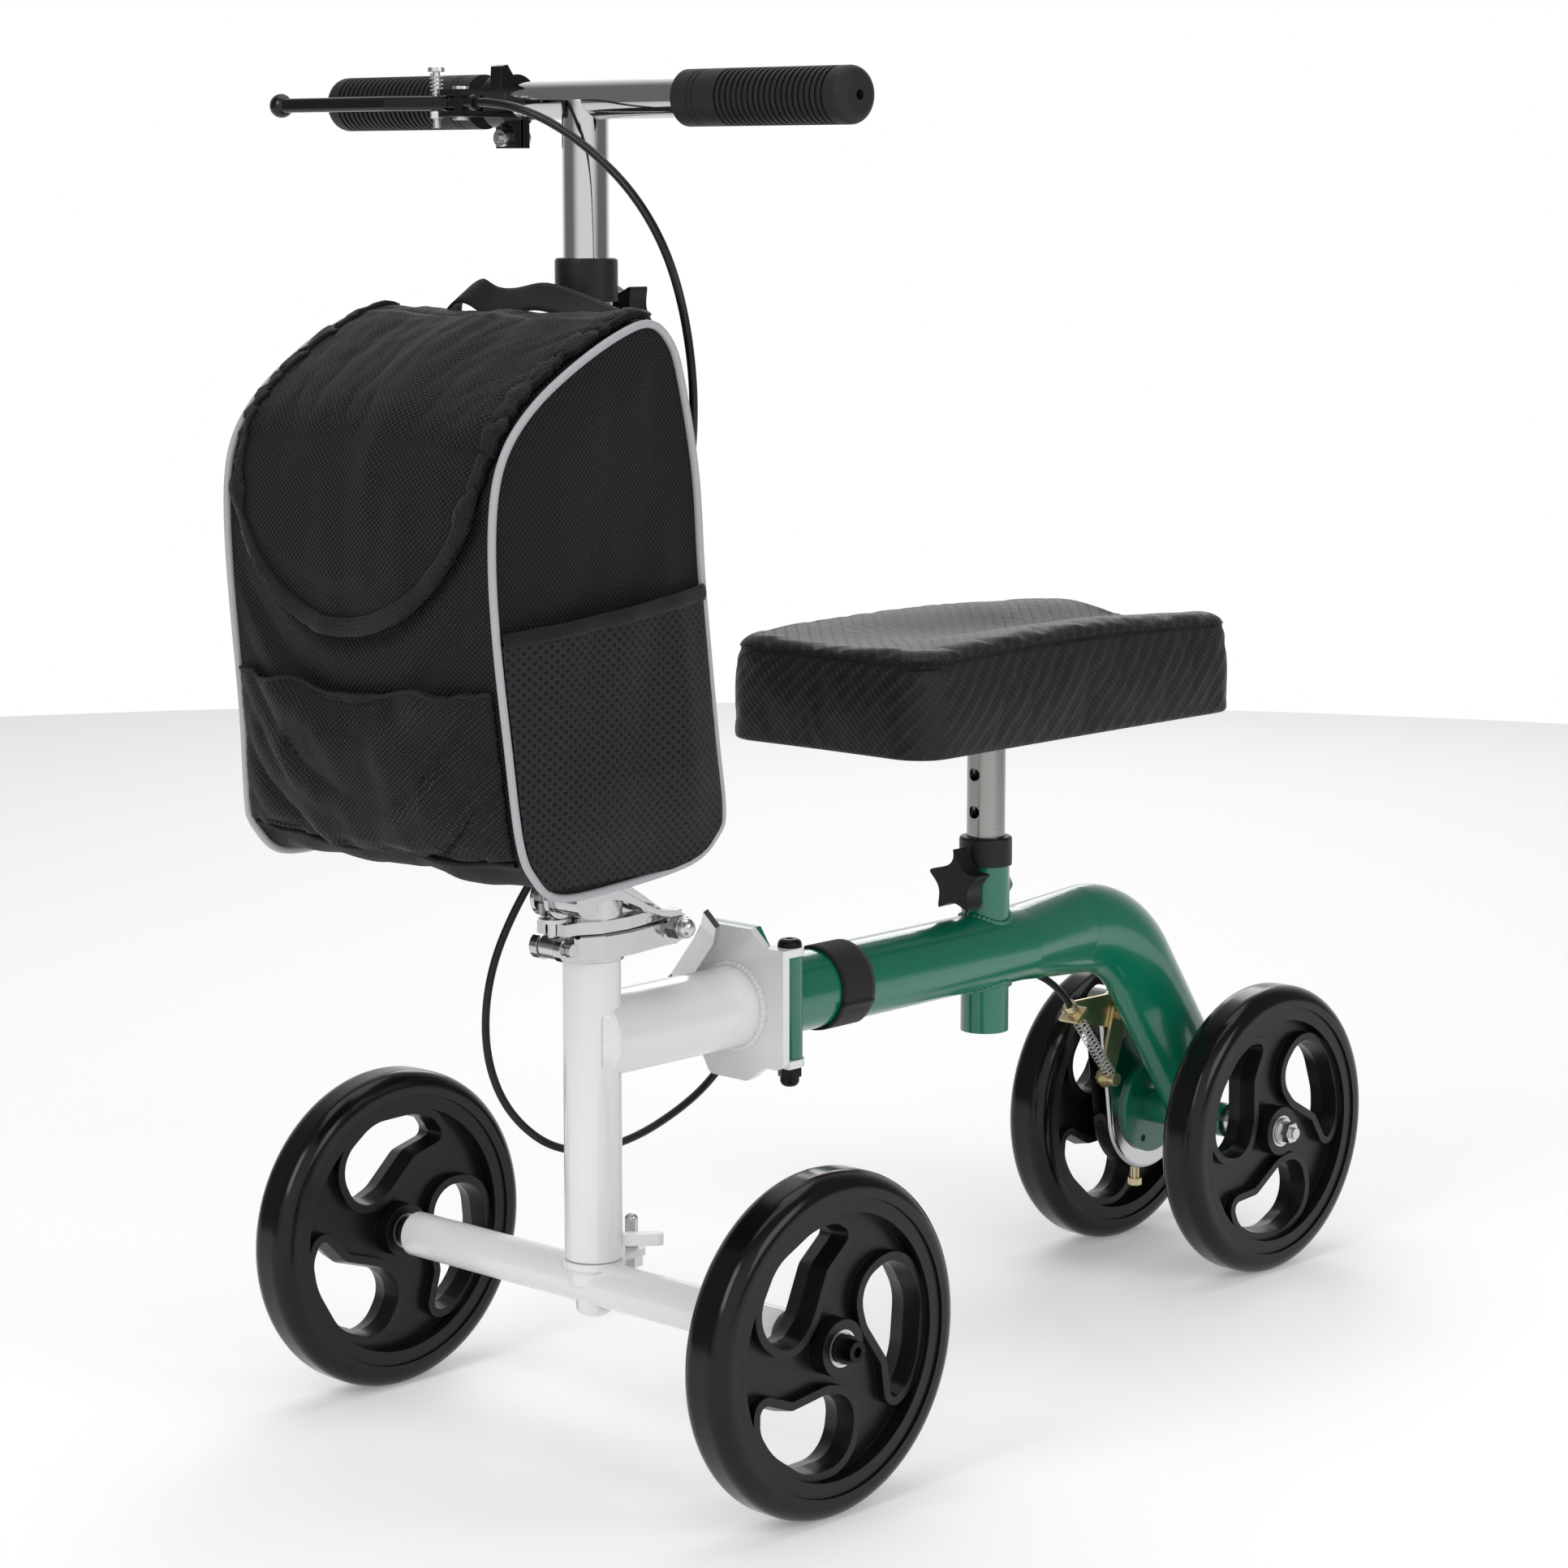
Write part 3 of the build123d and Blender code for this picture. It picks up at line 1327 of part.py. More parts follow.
def pad_outline(inset):
    """The edges of the pad's outline from above, moved in by the inset."""
    rear_x = pad_front_x - pad_length
    front = pad_front_half_width - inset
    rear = pad_rear_half_width - inset
    corners = (
        (pad_front_x - inset, front),
        (pad_front_x - inset, -front),
        (rear_x + inset, -rear),
        (rear_x + inset, rear),
    )
    with BuildLine() as outline:
        FilletPolyline(*corners, radius=(40 - inset, 40 - inset, 30 - inset, 30 - inset), close=True)
    return outline.edges()


board_inset = 8.0
board_bottom = pad_plate_z + pad_plate_thickness
with BuildPart() as seat_board:
    with BuildSketch(Plane.XY.offset(board_bottom)):
        make_face(pad_outline(board_inset))
    extrude(amount=board_thickness)
keep(seat_board, "seat_board")

with BuildPart() as seat_pad:
    with BuildSketch(Plane.XY.offset(pad_bottom)):
        make_face(pad_outline(0))
    extrude(amount=pad_height)
    fillet(seat_pad.faces().sort_by(Axis.Z)[-1].edges(), 12)
    with BuildSketch(Plane.XY.offset(pad_bottom)):
        make_face(pad_outline(board_inset))
    extrude(amount=board_bottom + board_thickness - pad_bottom, mode=Mode.SUBTRACT)
keep(seat_pad, "seat_pad")

# ---------------------------------------------------------------- brake cable
wire_y = -21.5
wire_drop = math.atan2(barrel_z - clamp_z, barrel_x - clamp_x)
barrel_length = 12.0
wire_cos = math.cos(wire_drop)
wire_sin = math.sin(wire_drop)
cable_end = (barrel_x + barrel_length * wire_cos, wire_y, barrel_z + barrel_length * wire_sin)
last_run = 25.0
last_turn = (cable_end[0] + last_run * wire_cos, wire_y, cable_end[2] + last_run * wire_sin)
cable_start = (lever_pivot_x + 8, barrel_y, lever_z)
strap_cable_y = -29.5
strap_cable_z = 241.0

# the cable's run from the lever to the brake; each part goes from a point on one body to one on the next
cable_runs = {
    "cable_upper": (
        cable_start,
        (lever_pivot_x + 8, barrel_y + 28, lever_z),
        (30, 22, 783),
        (22, 66, 748),
        (15, 91, 700),
        (9, 91.5, 665),
    ),
    "cable_middle": (
        (9, 91.5, 665),
        (3, 92, 630),
        (-12, 66, 564),
        (-25, 31, 499),
        (-30, -6, 434),
        (-20, -42, 372),
        (-10, -53, 349),
    ),
    "cable_lower": (
        (-10, -53, 349),
        (0, -64, 326),
        (12, -78, 280),
        (14, -80, 232),
        (6, -68, 194),
        (-14, -44, 170),
        (-58, -31, 170),
        (-88, -32, 178),
    ),
    "cable_rear": (
        (-88, -32, 178),
        (-118, -33, 186),
        (-150, -33, 207),
        (-186, strap_cable_y, strap_cable_z - 1),
        (-248, strap_cable_y, strap_cable_z + 3),
        (-316, -31.5, 243),
        (-374, -31.5, 239),
        (-425, -30, 228),
        last_turn,
        cable_end,
    ),
}


def bend_radii(points):
    """The radius at each inner point: as gentle as the shorter run beside it allows."""
    radii = []
    for before, corner, after in zip(points, points[1:], points[2:]):
        arriving = Vector(*corner) - Vector(*before)
        leaving = Vector(*after) - Vector(*corner)
        half_turn = math.radians(arriving.get_angle(leaving) / 2)
        radii.append(0.45 * min(arriving.length, leaving.length) / math.tan(half_turn))
    return radii


for name, points in cable_runs.items():
    radii = bend_radii(points)
    with BuildPart() as cable:
        with BuildLine() as route:
            FilletPolyline(*points, radius=radii)
        path = route.wires()[0]
        with BuildSketch(Plane(origin=path @ 0, z_dir=path % 0)):
            Circle(cable_radius)
        sweep(path=path)
    keep(cable, name)
    filled = cable.part.volume / (math.pi * cable_radius**2 * path.length)
    print(name, "length", round(path.length, 1), "radii", [round(r) for r in radii], "filled", round(filled, 4))

with BuildPart() as beam_strap:
    with BuildSketch(front_plane(-194)):
        with Locations((0, beam_z)):
            Circle(beam_radius + 1.8)
        with Locations((strap_cable_y, strap_cable_z)):
            Circle(6.4)
        make_hull()
        with BuildSketch(mode=Mode.SUBTRACT):
            with Locations((0, beam_z)):
                Circle(beam_radius + 0.3)
            with Locations((strap_cable_y, strap_cable_z)):
                Circle(5.0)
            make_hull()
    extrude(amount=-31)
keep(beam_strap, "beam_strap")

# ---------------------------------------------------------------- rear axle and band brake
hub_outer_y = rear_half_track + hub_half_width
hub_inner_y = rear_half_track - hub_half_width
washer_thickness = 1.8
with BuildPart() as rear_axle:
    with BuildSketch(side_plane(hub_outer_y + 12)):
        with Locations((-wheel_base, axle_z)):
            Circle(axle_radius)
    extrude(amount=2 * hub_outer_y + 18)
    for side, nut_length in ((1, 7), (-1, 5.5)):
        with BuildSketch(side_plane(side * (hub_outer_y + face_gap))):
            with Locations((-wheel_base, axle_z)):
                Circle(9)
        extrude(amount=-side * washer_thickness)
        with BuildSketch(side_plane(side * (hub_outer_y + face_gap + washer_thickness))):
            with Locations((-wheel_base, axle_z)):
                RegularPolygon(7.5, 6)
        extrude(amount=-side * nut_length)
keep(rear_axle, "rear_axle")

right_spacer_radius = 6.5
with BuildPart() as rear_spacers:
    with BuildSketch(side_plane(hub_inner_y - face_gap)):
        with Locations((-wheel_base, axle_z)):
            Circle(9)
            Circle(axle_radius, mode=Mode.SUBTRACT)
    extrude(amount=spacer_length - face_gap)
    with BuildSketch(side_plane(cover_face_y)):
        with Locations((-wheel_base, axle_z)):
            Circle(right_spacer_radius)
            Circle(axle_radius, mode=Mode.SUBTRACT)
    extrude(amount=hub_inner_y - face_gap + cover_face_y)
keep(rear_spacers, "rear_spacers")

cover_depth = 14.0
cover_tip_radius = 16.0
with BuildPart() as brake_cover:
    with BuildSketch(side_plane(flange_y)):
        with Locations((-wheel_base, axle_z)):
            Circle(cover_radius)
        with Locations((arm_pivot_x, arm_pivot_z)):
            Circle(cover_tip_radius)
        make_hull()
    extrude(amount=cover_wall + cover_depth)
    fillet(brake_cover.faces().sort_by(Axis.Y)[-1].edges(), 3)
    with BuildSketch(side_plane(cover_face_y)):
        with Locations((-wheel_base, axle_z)):
            Circle(cover_radius - cover_wall)
        with Locations((arm_pivot_x, arm_pivot_z)):
            Circle(cover_tip_radius - cover_wall)
        make_hull()
    extrude(amount=cover_depth, mode=Mode.SUBTRACT)
    with BuildSketch(side_plane(flange_y)):
        with Locations((-wheel_base, axle_z)):
            Circle(axle_radius)
        with Locations((arm_pivot_x, arm_pivot_z)):
            Circle(arm_pin_radius + 0.5)
    extrude(amount=cover_wall, mode=Mode.SUBTRACT)
    with BuildSketch(Plane.XY.offset(axle_z - cover_radius - 5)):
        with Locations((-wheel_base + 6, cover_face_y - cover_depth / 2)):
            Circle(3)
    extrude(amount=15, mode=Mode.SUBTRACT)
keep(brake_cover, "brake_cover")

drum_left_y = -36.0
with BuildPart() as brake_drum:
    with BuildSketch(side_plane(drum_left_y)):
        with Locations((-wheel_base, axle_z)):
            Circle(drum_radius)
    extrude(amount=hub_inner_y + drum_left_y)
    with BuildSketch(side_plane(drum_left_y)):
        with Locations((-wheel_base, axle_z)):
            Circle(drum_radius - 4)
    extrude(amount=hub_inner_y + drum_left_y - 3.5, mode=Mode.SUBTRACT)
    with BuildSketch(side_plane(drum_left_y)):
        with Locations((-wheel_base, axle_z)):
            Circle(right_spacer_radius + 2.5)
    extrude(amount=hub_inner_y + drum_left_y, mode=Mode.SUBTRACT)
keep(brake_drum, "brake_drum")

# the band goes from the adjuster below, behind the drum and over it, and runs off up to the arm
band_width = 9.0
band_middle_radius = drum_radius + band_gap + band_thickness / 2
pivot_distance = math.hypot(arm_pivot_x + wheel_base, arm_pivot_z - axle_z)
pivot_bearing = math.degrees(math.atan2(arm_pivot_z - axle_z, arm_pivot_x + wheel_base))
leaving_bearing = pivot_bearing + math.degrees(math.acos(band_middle_radius / pivot_distance))
with BuildPart() as brake_band:
    with BuildSketch(side_plane(drum_left_y - 1)):
        with BuildLine():
            wrap = CenterArc((-wheel_base, axle_z), band_middle_radius, leaving_bearing, 278 - leaving_bearing)
            tail = PolarLine(wrap @ 0, 58, direction=-(wrap % 0))
        trace(line_width=band_thickness)
        with Locations((-wheel_base + 6, axle_z - band_middle_radius - 2)):
            Rectangle(8, 4)
    extrude(amount=band_width)
keep(brake_band, "brake_band")

anchor_thickness = 2.5
holder_plane = Plane(
    origin=(barrel_x, wire_y, barrel_z),
    x_dir=(0, 1, 0),
    z_dir=(math.cos(wire_drop), 0, math.sin(wire_drop)),
)
with BuildPart() as brake_anchor:
    with BuildSketch(side_plane(flange_y + anchor_thickness)):
        with Locations((arm_pivot_x, arm_pivot_z)):
            Circle(13)
        with Locations((barrel_x - 4, barrel_z + 1)):
            Circle(7)
        make_hull()
        with Locations((arm_pivot_x + 1, arm_pivot_z)):
            Rectangle(16, 22, align=(Align.CENTER, Align.MIN))
        with Locations((arm_pivot_x, arm_pivot_z)):
            Circle(arm_pin_radius + running_gap, mode=Mode.SUBTRACT)
    extrude(amount=anchor_thickness)
    with BuildSketch(holder_plane):
        with Locations(((flange_y - wire_y + 6.5) / 2, 0)):
            Rectangle(6.5 + wire_y - flange_y, 14)
    extrude(amount=anchor_thickness, both=False)
    with BuildSketch(holder_plane):
        Circle(3)
    extrude(amount=20, both=True, mode=Mode.SUBTRACT)
keep(brake_anchor, "brake_anchor")

with BuildPart() as brake_screws:
    # cable adjuster: screw through the holder, locknut and head
    with BuildSketch(holder_plane.offset(-6)):
        Circle(3)
    extrude(amount=6 + barrel_length)
    with BuildSketch(holder_plane.offset(anchor_thickness)):
        RegularPolygon(5, 6)
    extrude(amount=3)
    with BuildSketch(holder_plane.offset(barrel_length - 5)):
        Circle(4.5)
    extrude(amount=5)
    # band adjuster below the cover
    with BuildSketch(Plane.XY.offset(axle_z - cover_radius - 13)):
        with Locations((-wheel_base + 6, cover_face_y - cover_depth / 2)):
            RegularPolygon(5, 6)
    extrude(amount=5)
    with BuildSketch(Plane.XY.offset(axle_z - cover_radius - 13)):
        with Locations((-wheel_base + 6, cover_face_y - cover_depth / 2)):
            Circle(3)
    extrude(amount=15)
keep(brake_screws, "brake_screws")

arm_thickness = 2.5
arm_right_y = flange_y + anchor_thickness + 0.3
arm_left_y = arm_right_y + arm_thickness
with BuildPart() as brake_arm:
    with BuildSketch(side_plane(arm_left_y)):
        with Locations((arm_pivot_x, arm_pivot_z)):
            Circle(9)
        with Locations((clamp_x, clamp_z)):
            Circle(7)
        make_hull()
    extrude(amount=arm_thickness)
    # shaft through the anchor and cover, with a nut outside and a cam inside
    with BuildSketch(side_plane(arm_left_y + 6)):
        with Locations((arm_pivot_x, arm_pivot_z)):
            Circle(arm_pin_radius)
    extrude(amount=arm_left_y + 6 - cover_face_y + 11)
    with BuildSketch(side_plane(arm_left_y + 4.5)):
        with Locations((arm_pivot_x, arm_pivot_z)):
            RegularPolygon(6.5, 6)
    extrude(amount=4.5)
    with BuildSketch(side_plane(cover_face_y - 3)):
        with Locations((arm_pivot_x, arm_pivot_z)):
            Circle(7)
    extrude(amount=8)
    # wire clamp
    with BuildSketch(side_plane(wire_y + 4)):
        with Locations((clamp_x, clamp_z)):
            Circle(4.8)
    extrude(amount=wire_y + 4 - arm_left_y)
    with BuildSketch(side_plane(arm_right_y)):
        with Locations((clamp_x, clamp_z)):
            RegularPolygon(5.5, 6)
    extrude(amount=4)
keep(brake_arm, "brake_arm")

spring_start = holder_plane.offset(-6.3)
spring_length = math.hypot(barrel_x - clamp_x, barrel_z - clamp_z) - 6.3 - 5.5
spring_plane = Plane(origin=spring_start.origin, x_dir=(0, 1, 0), z_dir=-holder_plane.z_dir)
brake_spring = coil_spring(spring_plane, 4.2, 0.9, 15, spring_length)
with BuildPart() as brake_wire:
    with BuildSketch(spring_plane):
        Circle(0.9)
    extrude(amount=spring_length)
keep_group((brake_spring, brake_wire), "brake_spring_and_wire")
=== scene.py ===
import json
import math

import bmesh
import bpy
from mathutils import Matrix, Vector, noise


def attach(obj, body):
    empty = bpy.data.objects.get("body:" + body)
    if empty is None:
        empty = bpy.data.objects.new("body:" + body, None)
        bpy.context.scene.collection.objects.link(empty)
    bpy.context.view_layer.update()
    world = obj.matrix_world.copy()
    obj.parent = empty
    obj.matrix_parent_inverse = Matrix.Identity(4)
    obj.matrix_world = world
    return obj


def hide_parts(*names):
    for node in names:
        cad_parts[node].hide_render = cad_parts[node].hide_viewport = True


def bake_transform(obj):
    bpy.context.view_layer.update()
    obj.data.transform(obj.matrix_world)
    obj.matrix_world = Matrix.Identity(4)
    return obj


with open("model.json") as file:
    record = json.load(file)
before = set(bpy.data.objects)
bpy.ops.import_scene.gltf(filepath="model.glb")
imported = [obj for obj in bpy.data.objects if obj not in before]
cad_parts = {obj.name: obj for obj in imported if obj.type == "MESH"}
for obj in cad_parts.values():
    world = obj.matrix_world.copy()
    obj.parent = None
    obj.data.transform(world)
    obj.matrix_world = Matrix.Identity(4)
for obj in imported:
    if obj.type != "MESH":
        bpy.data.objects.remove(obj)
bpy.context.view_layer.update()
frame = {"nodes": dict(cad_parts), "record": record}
scene = bpy.context.scene

# ---------------------------------------------------------------- camera
LENS = 89.31
camera_data = bpy.data.cameras.new("camera")
camera_data.lens = LENS
camera_data.sensor_width = 36.0
camera = bpy.data.objects.new("camera", camera_data)
scene.collection.objects.link(camera)
camera.location = (1.5888, 1.6277, 0.7563)
camera.rotation_mode = "QUATERNION"
camera.rotation_quaternion = Vector((-0.72500565, -0.67155498, -0.15290753)).to_track_quat("-Z", "Y")
scene.camera = camera


# ---------------------------------------------------------------- materials
materials = {}


def new_material(name, color, roughness=0.5, metallic=0.0, coat=0.0, specular=0.5):
    """A Principled material, its node tree and its shader node."""
    material = materials[name] = bpy.data.materials.new(name)
    material.use_nodes = True
    tree = material.node_tree
    shader = tree.nodes["Principled BSDF"]
    shader.inputs["Base Color"].default_value = (*color, 1)
    shader.inputs["Roughness"].default_value = roughness
    shader.inputs["Metallic"].default_value = metallic
    shader.inputs["Coat Weight"].default_value = coat
    shader.inputs["Coat Roughness"].default_value = 0.06
    shader.inputs["Specular IOR Level"].default_value = specular
    return material, tree, shader


def math_node(tree, operation, first, second=None):
    """A Math node on two sockets or numbers, returning its output."""
    node = tree.nodes.new("ShaderNodeMath")
    node.operation = operation
    for socket, value in zip(node.inputs, (first, second)):
        if value is None:
            continue
        if isinstance(value, (int, float)):
            socket.default_value = value
        else:
            tree.links.new(value, socket)
    return node.outputs[0]


def noise_node(tree, scale, detail=3.0, vector=None):
    """A noise texture in object coordinates, returning its factor."""
    node = tree.nodes.new("ShaderNodeTexNoise")
    node.inputs["Scale"].default_value = scale
    node.inputs["Detail"].default_value = detail
    if vector is None:
        vector = tree.nodes.new("ShaderNodeTexCoord").outputs["Object"]
    tree.links.new(vector, node.inputs["Vector"])
    return node.outputs["Factor"] if "Factor" in node.outputs else node.outputs["Fac"]


def spread(tree, value, low, high):
    """Maps a 0 to 1 value onto low to high."""
    node = tree.nodes.new("ShaderNodeMapRange")
    node.inputs["To Min"].default_value = low
    node.inputs["To Max"].default_value = high
    tree.links.new(value, node.inputs["Value"])
    return node.outputs["Result"]


def mix_color(tree, factor, first, second):
    """A colour between two, by a socket."""
    node = tree.nodes.new("ShaderNodeMix")
    node.data_type = "RGBA"
    tree.links.new(factor, node.inputs[0])
    node.inputs[6].default_value = (*first, 1)
    node.inputs[7].default_value = (*second, 1)
    return node.outputs[2]


def add_bump(tree, shader, height, distance, strength=1.0, edge_radius=0.0):
    """Bump from a height socket, over softened edges if edge_radius is given."""
    node = tree.nodes.new("ShaderNodeBump")
    node.inputs["Strength"].default_value = strength
    node.inputs["Distance"].default_value = distance
    tree.links.new(height, node.inputs["Height"])
    if edge_radius:
        bevel = tree.nodes.new("ShaderNodeBevel")
        bevel.samples = 4
        bevel.inputs["Radius"].default_value = edge_radius
        tree.links.new(bevel.outputs["Normal"], node.inputs["Normal"])
    tree.links.new(node.outputs["Normal"], shader.inputs["Normal"])


def surface_uv(tree):
    """The two surface coordinates, in metres along the cloth."""
    uv = tree.nodes.new("ShaderNodeUVMap")
    split = tree.nodes.new("ShaderNodeSeparateXYZ")
    tree.links.new(uv.outputs["UV"], split.inputs["Vector"])
    return split.outputs["X"], split.outputs["Y"]


def wave(tree, value, pitch):
    """The cosine of a coordinate in metres, repeating every pitch."""
    return math_node(tree, "COSINE", math_node(tree, "MULTIPLY", value, math.tau / pitch))


def paint(name, color):
    """Gloss powder coat with a faint orange peel."""
    material, tree, shader = new_material(name, color, 0.24, 0.0, 0.6)
    peel = noise_node(tree, 260.0, 2.0)
    add_bump(tree, shader, peel, 0.00012, 0.35, 0.0007)
    smear = spread(tree, noise_node(tree, 14.0), 0.2, 0.32)
    tree.links.new(smear, shader.inputs["Roughness"])
    return material


def metal(name, color, roughness, brushed=0.0, edge=0.0005):
    """Bare or plated metal, brushed round its axis if brushed is over 0."""
    material, tree, shader = new_material(name, color, roughness, 1.0)
    spots = noise_node(tree, 35.0, 4.0)
    tree.links.new(spread(tree, spots, roughness * 0.7, roughness * 1.5), shader.inputs["Roughness"])
    if brushed:
        coordinate = tree.nodes.new("ShaderNodeTexCoord")
        stretch = tree.nodes.new("ShaderNodeMapping")
        stretch.inputs["Scale"].default_value = (30, 30, 2200)
        tree.links.new(coordinate.outputs["Object"], stretch.inputs["Vector"])
        lines = noise_node(tree, 1.0, 2.0, stretch.outputs["Vector"])
        add_bump(tree, shader, lines, 0.00006, brushed, edge)
    else:
        add_bump(tree, shader, noise_node(tree, 300.0, 2.0), 0.00003, 0.3, edge)
    return material


def plastic(name, color, roughness, grain=0.0, coat=0.0):
    """Moulded plastic, with a fine grain if grain is over 0."""
    material, tree, shader = new_material(name, color, roughness, 0.0, coat, 0.3)
    add_bump(tree, shader, noise_node(tree, 900.0, 2.0), 0.0001, grain, 0.0006)
    wear = spread(tree, noise_node(tree, 20.0, 4.0), roughness * 0.8, roughness * 1.25)
    tree.links.new(wear, shader.inputs["Roughness"])
    return material


def woven(name, shaded_gap_colour, light, pitch_u, pitch_v, relief, roughness=0.62):
    """Coarse nylon weave: staggered thread crowns, with painted shade darkening the gaps between them."""
    material, tree, shader = new_material(name, shaded_gap_colour, roughness, 0.0, 0.0, 0.22)
    u, v = surface_uv(tree)
    crowns = math_node(tree, "MULTIPLY", wave(tree, u, pitch_u), wave(tree, v, pitch_v))
    height = math_node(tree, "MAXIMUM", crowns, 0.0)
    height = math_node(tree, "POWER", height, 0.6)
    # painted shade: colour follows crown height, darker in the gaps between threads and lighter on the crowns
    shade = mix_color(tree, height, shaded_gap_colour, light)
    tree.links.new(shade, shader.inputs["Base Color"])
    add_bump(tree, shader, height, relief, 1.0)
    shader.inputs["Sheen Weight"].default_value = 0.06
    shader.inputs["Sheen Roughness"].default_value = 0.4
    return material


def netting(name):
    """Pocket mesh: staggered oval holes, painted near black as shade, between shiny threads."""
    material, tree, shader = new_material(name, (0.012, 0.012, 0.013), 0.55, 0.0, 0.0, 0.22)
    u, v = surface_uv(tree)
    lattice = math_node(tree, "MULTIPLY", wave(tree, u, 0.0068), wave(tree, v, 0.0056))
    depth = math_node(tree, "MAXIMUM", lattice, 0.0)
    hole = tree.nodes.new("ShaderNodeMapRange")
    hole.interpolation_type = "SMOOTHSTEP"
    hole.inputs["From Min"].default_value = 0.34
    hole.inputs["From Max"].default_value = 0.5
    tree.links.new(depth, hole.inputs["Value"])
    # painted shade: the holes are coloured near black instead of being open
    shade = mix_color(tree, hole.outputs["Result"], (0.016, 0.0155, 0.017), (0.0006, 0.0006, 0.0006))
    tree.links.new(shade, shader.inputs["Base Color"])
    add_bump(tree, shader, math_node(tree, "SUBTRACT", 1.0, hole.outputs["Result"]), 0.0012, 1.0)
    return material


def twill_vinyl(name, pitch, relief):
    """Vinyl embossed with short diagonal ribs, with painted shade darkening the grooves between them."""
    material, tree, shader = new_material(name, (0.014, 0.014, 0.015), 0.5, 0.0, 0.0, 0.28)
    u, v = surface_uv(tree)
    diagonal = math_node(tree, "ADD", u, v)
    across = math_node(tree, "SUBTRACT", u, v)
    ribs = spread(tree, wave(tree, diagonal, pitch), 0.5, 1.0)
    breaks = spread(tree, wave(tree, across, 2.6 * pitch), 0.35, 1.0)
    height = math_node(tree, "MULTIPLY", ribs, breaks)
    add_bump(tree, shader, height, relief, 0.9)
    # painted shade: colour follows rib height, darker in the grooves
    shade = mix_color(tree, height, (0.004, 0.004, 0.0045), (0.022, 0.022, 0.024))
    tree.links.new(shade, shader.inputs["Base Color"])
    return material


def webbing(name, pitch=0.0022):
    """Ribbed tape."""
    material, tree, shader = new_material(name, (0.006, 0.006, 0.0065), 0.65, 0.0, 0.0, 0.2)
    u, v = surface_uv(tree)
    ribs = math_node(tree, "MULTIPLY", wave(tree, u, pitch), wave(tree, v, 2 * pitch))
    add_bump(tree, shader, ribs, 0.0003, 0.8)
    shader.inputs["Sheen Weight"].default_value = 0.08
    return material


white_paint = paint("white_paint", (0.82, 0.83, 0.84))
green_paint = paint("green_paint", (0.0008, 0.155, 0.086))
metal("chrome_tube", (0.60, 0.59, 0.60), 0.05)
fold_chrome = metal("fold_chrome", (0.55, 0.55, 0.56), 0.09)
metal("brushed_post", (0.34, 0.33, 0.32), 0.24, 0.6)
fastener = metal("steel_fastener", (0.62, 0.62, 0.63), 0.24)
metal("black_fastener", (0.02, 0.02, 0.022), 0.35)
metal("zinc_plate", (0.68, 0.58, 0.36), 0.3)
metal("drum_iron", (0.25, 0.25, 0.26), 0.4, 0.4)
plastic("tyre_black", (0.004, 0.004, 0.0045), 0.16, 0.05, 0.0)
plastic("wheel_plastic", (0.005, 0.005, 0.0055), 0.32, 0.25)
plastic("bush_plastic", (0.42, 0.41, 0.38), 0.5)
plastic("knob_plastic", (0.010, 0.010, 0.011), 0.42, 0.4)
bracket_black = plastic("bracket_black", (0.005, 0.005, 0.0055), 0.18, 0.05, 0.2)
plastic("grip_rubber", (0.014, 0.014, 0.015), 0.55, 0.5)
cable_black = plastic("cable_black", (0.008, 0.008, 0.009), 0.28, 0.1)
plastic("board_wood", (0.30, 0.19, 0.10), 0.7, 0.6)
nylon = woven("bag_nylon", (0.0015, 0.0015, 0.002), (0.019, 0.018, 0.0195), 0.0036, 0.0030, 0.0010)
side_nylon = woven("bag_side_nylon", (0.0015, 0.0015, 0.002), (0.017, 0.016, 0.0175), 0.0030, 0.0036, 0.0010)
mesh_cloth = netting("pocket_mesh")
tape = webbing("webbing")
piping_grey = plastic("reflective_piping", (0.40, 0.41, 0.43), 0.45, 0.5)
pad_side = twill_vinyl("pad_vinyl_side", 0.0050, 0.0012)
pad_top_cloth = twill_vinyl("pad_vinyl_top", 0.0040, 0.0007)

# slots that look like another one; each of the rest has the material of its own name
SAME_LOOK = {"bearing_steel": fastener, "lever_black": bracket_black, "pad_vinyl": pad_side}
for part in frame["record"]["subparts"]:
    slot = part["material_slot"]
    look = SAME_LOOK[slot] if slot in SAME_LOOK else materials[slot]
    for place in frame["nodes"][part["node"]].material_slots:
        place.material = look
for name in ("fold_base", "stem_clamp", "cam_lever", "brake_cover"):
    for place in frame["nodes"][name].material_slots:
        place.material = fold_chrome


# ---------------------------------------------------------------- making meshes
def add_object(name, data, body, material=None):
    """Puts a new piece in the scene on its body, with its material."""
    piece = bpy.data.objects.new(name, data)
    scene.collection.objects.link(piece)
    if material is not None:
        data.materials.append(material)
    if body is not None:
        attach(piece, body)
    return piece


def grid_mesh(name, rows, uv_rows, close_rows=False, close_columns=False):
    """A mesh over rows of points, with surface coordinates in metres for each point."""
    mesh = bpy.data.meshes.new(name)
    width = len(rows[0])
    points = [point for row in rows for point in row]
    coordinates = [uv for row in uv_rows for uv in row]
    last_row = len(rows) if close_rows else len(rows) - 1
    last_column = width if close_columns else width - 1
    faces = []
    for i in range(last_row):
        here, ahead = i * width, (i + 1) % len(rows) * width
        for j in range(last_column):
            beside = (j + 1) % width
            faces.append([here + j, here + beside, ahead + beside, ahead + j])
    mesh.from_pydata(points, [], faces)
    layer = mesh.uv_layers.new(name="UVMap")
    for loop in mesh.loops:
        layer.data[loop.index].uv = coordinates[loop.vertex_index]
    mesh.shade_smooth()
    return mesh


def add_grid(name, rows, uv_rows, body, material, slot, close_rows=False, close_columns=False):
    """A piece made over rows of points."""
    mesh = grid_mesh(name, rows, uv_rows, close_rows, close_columns)
    return add_object(name, mesh, body, material)


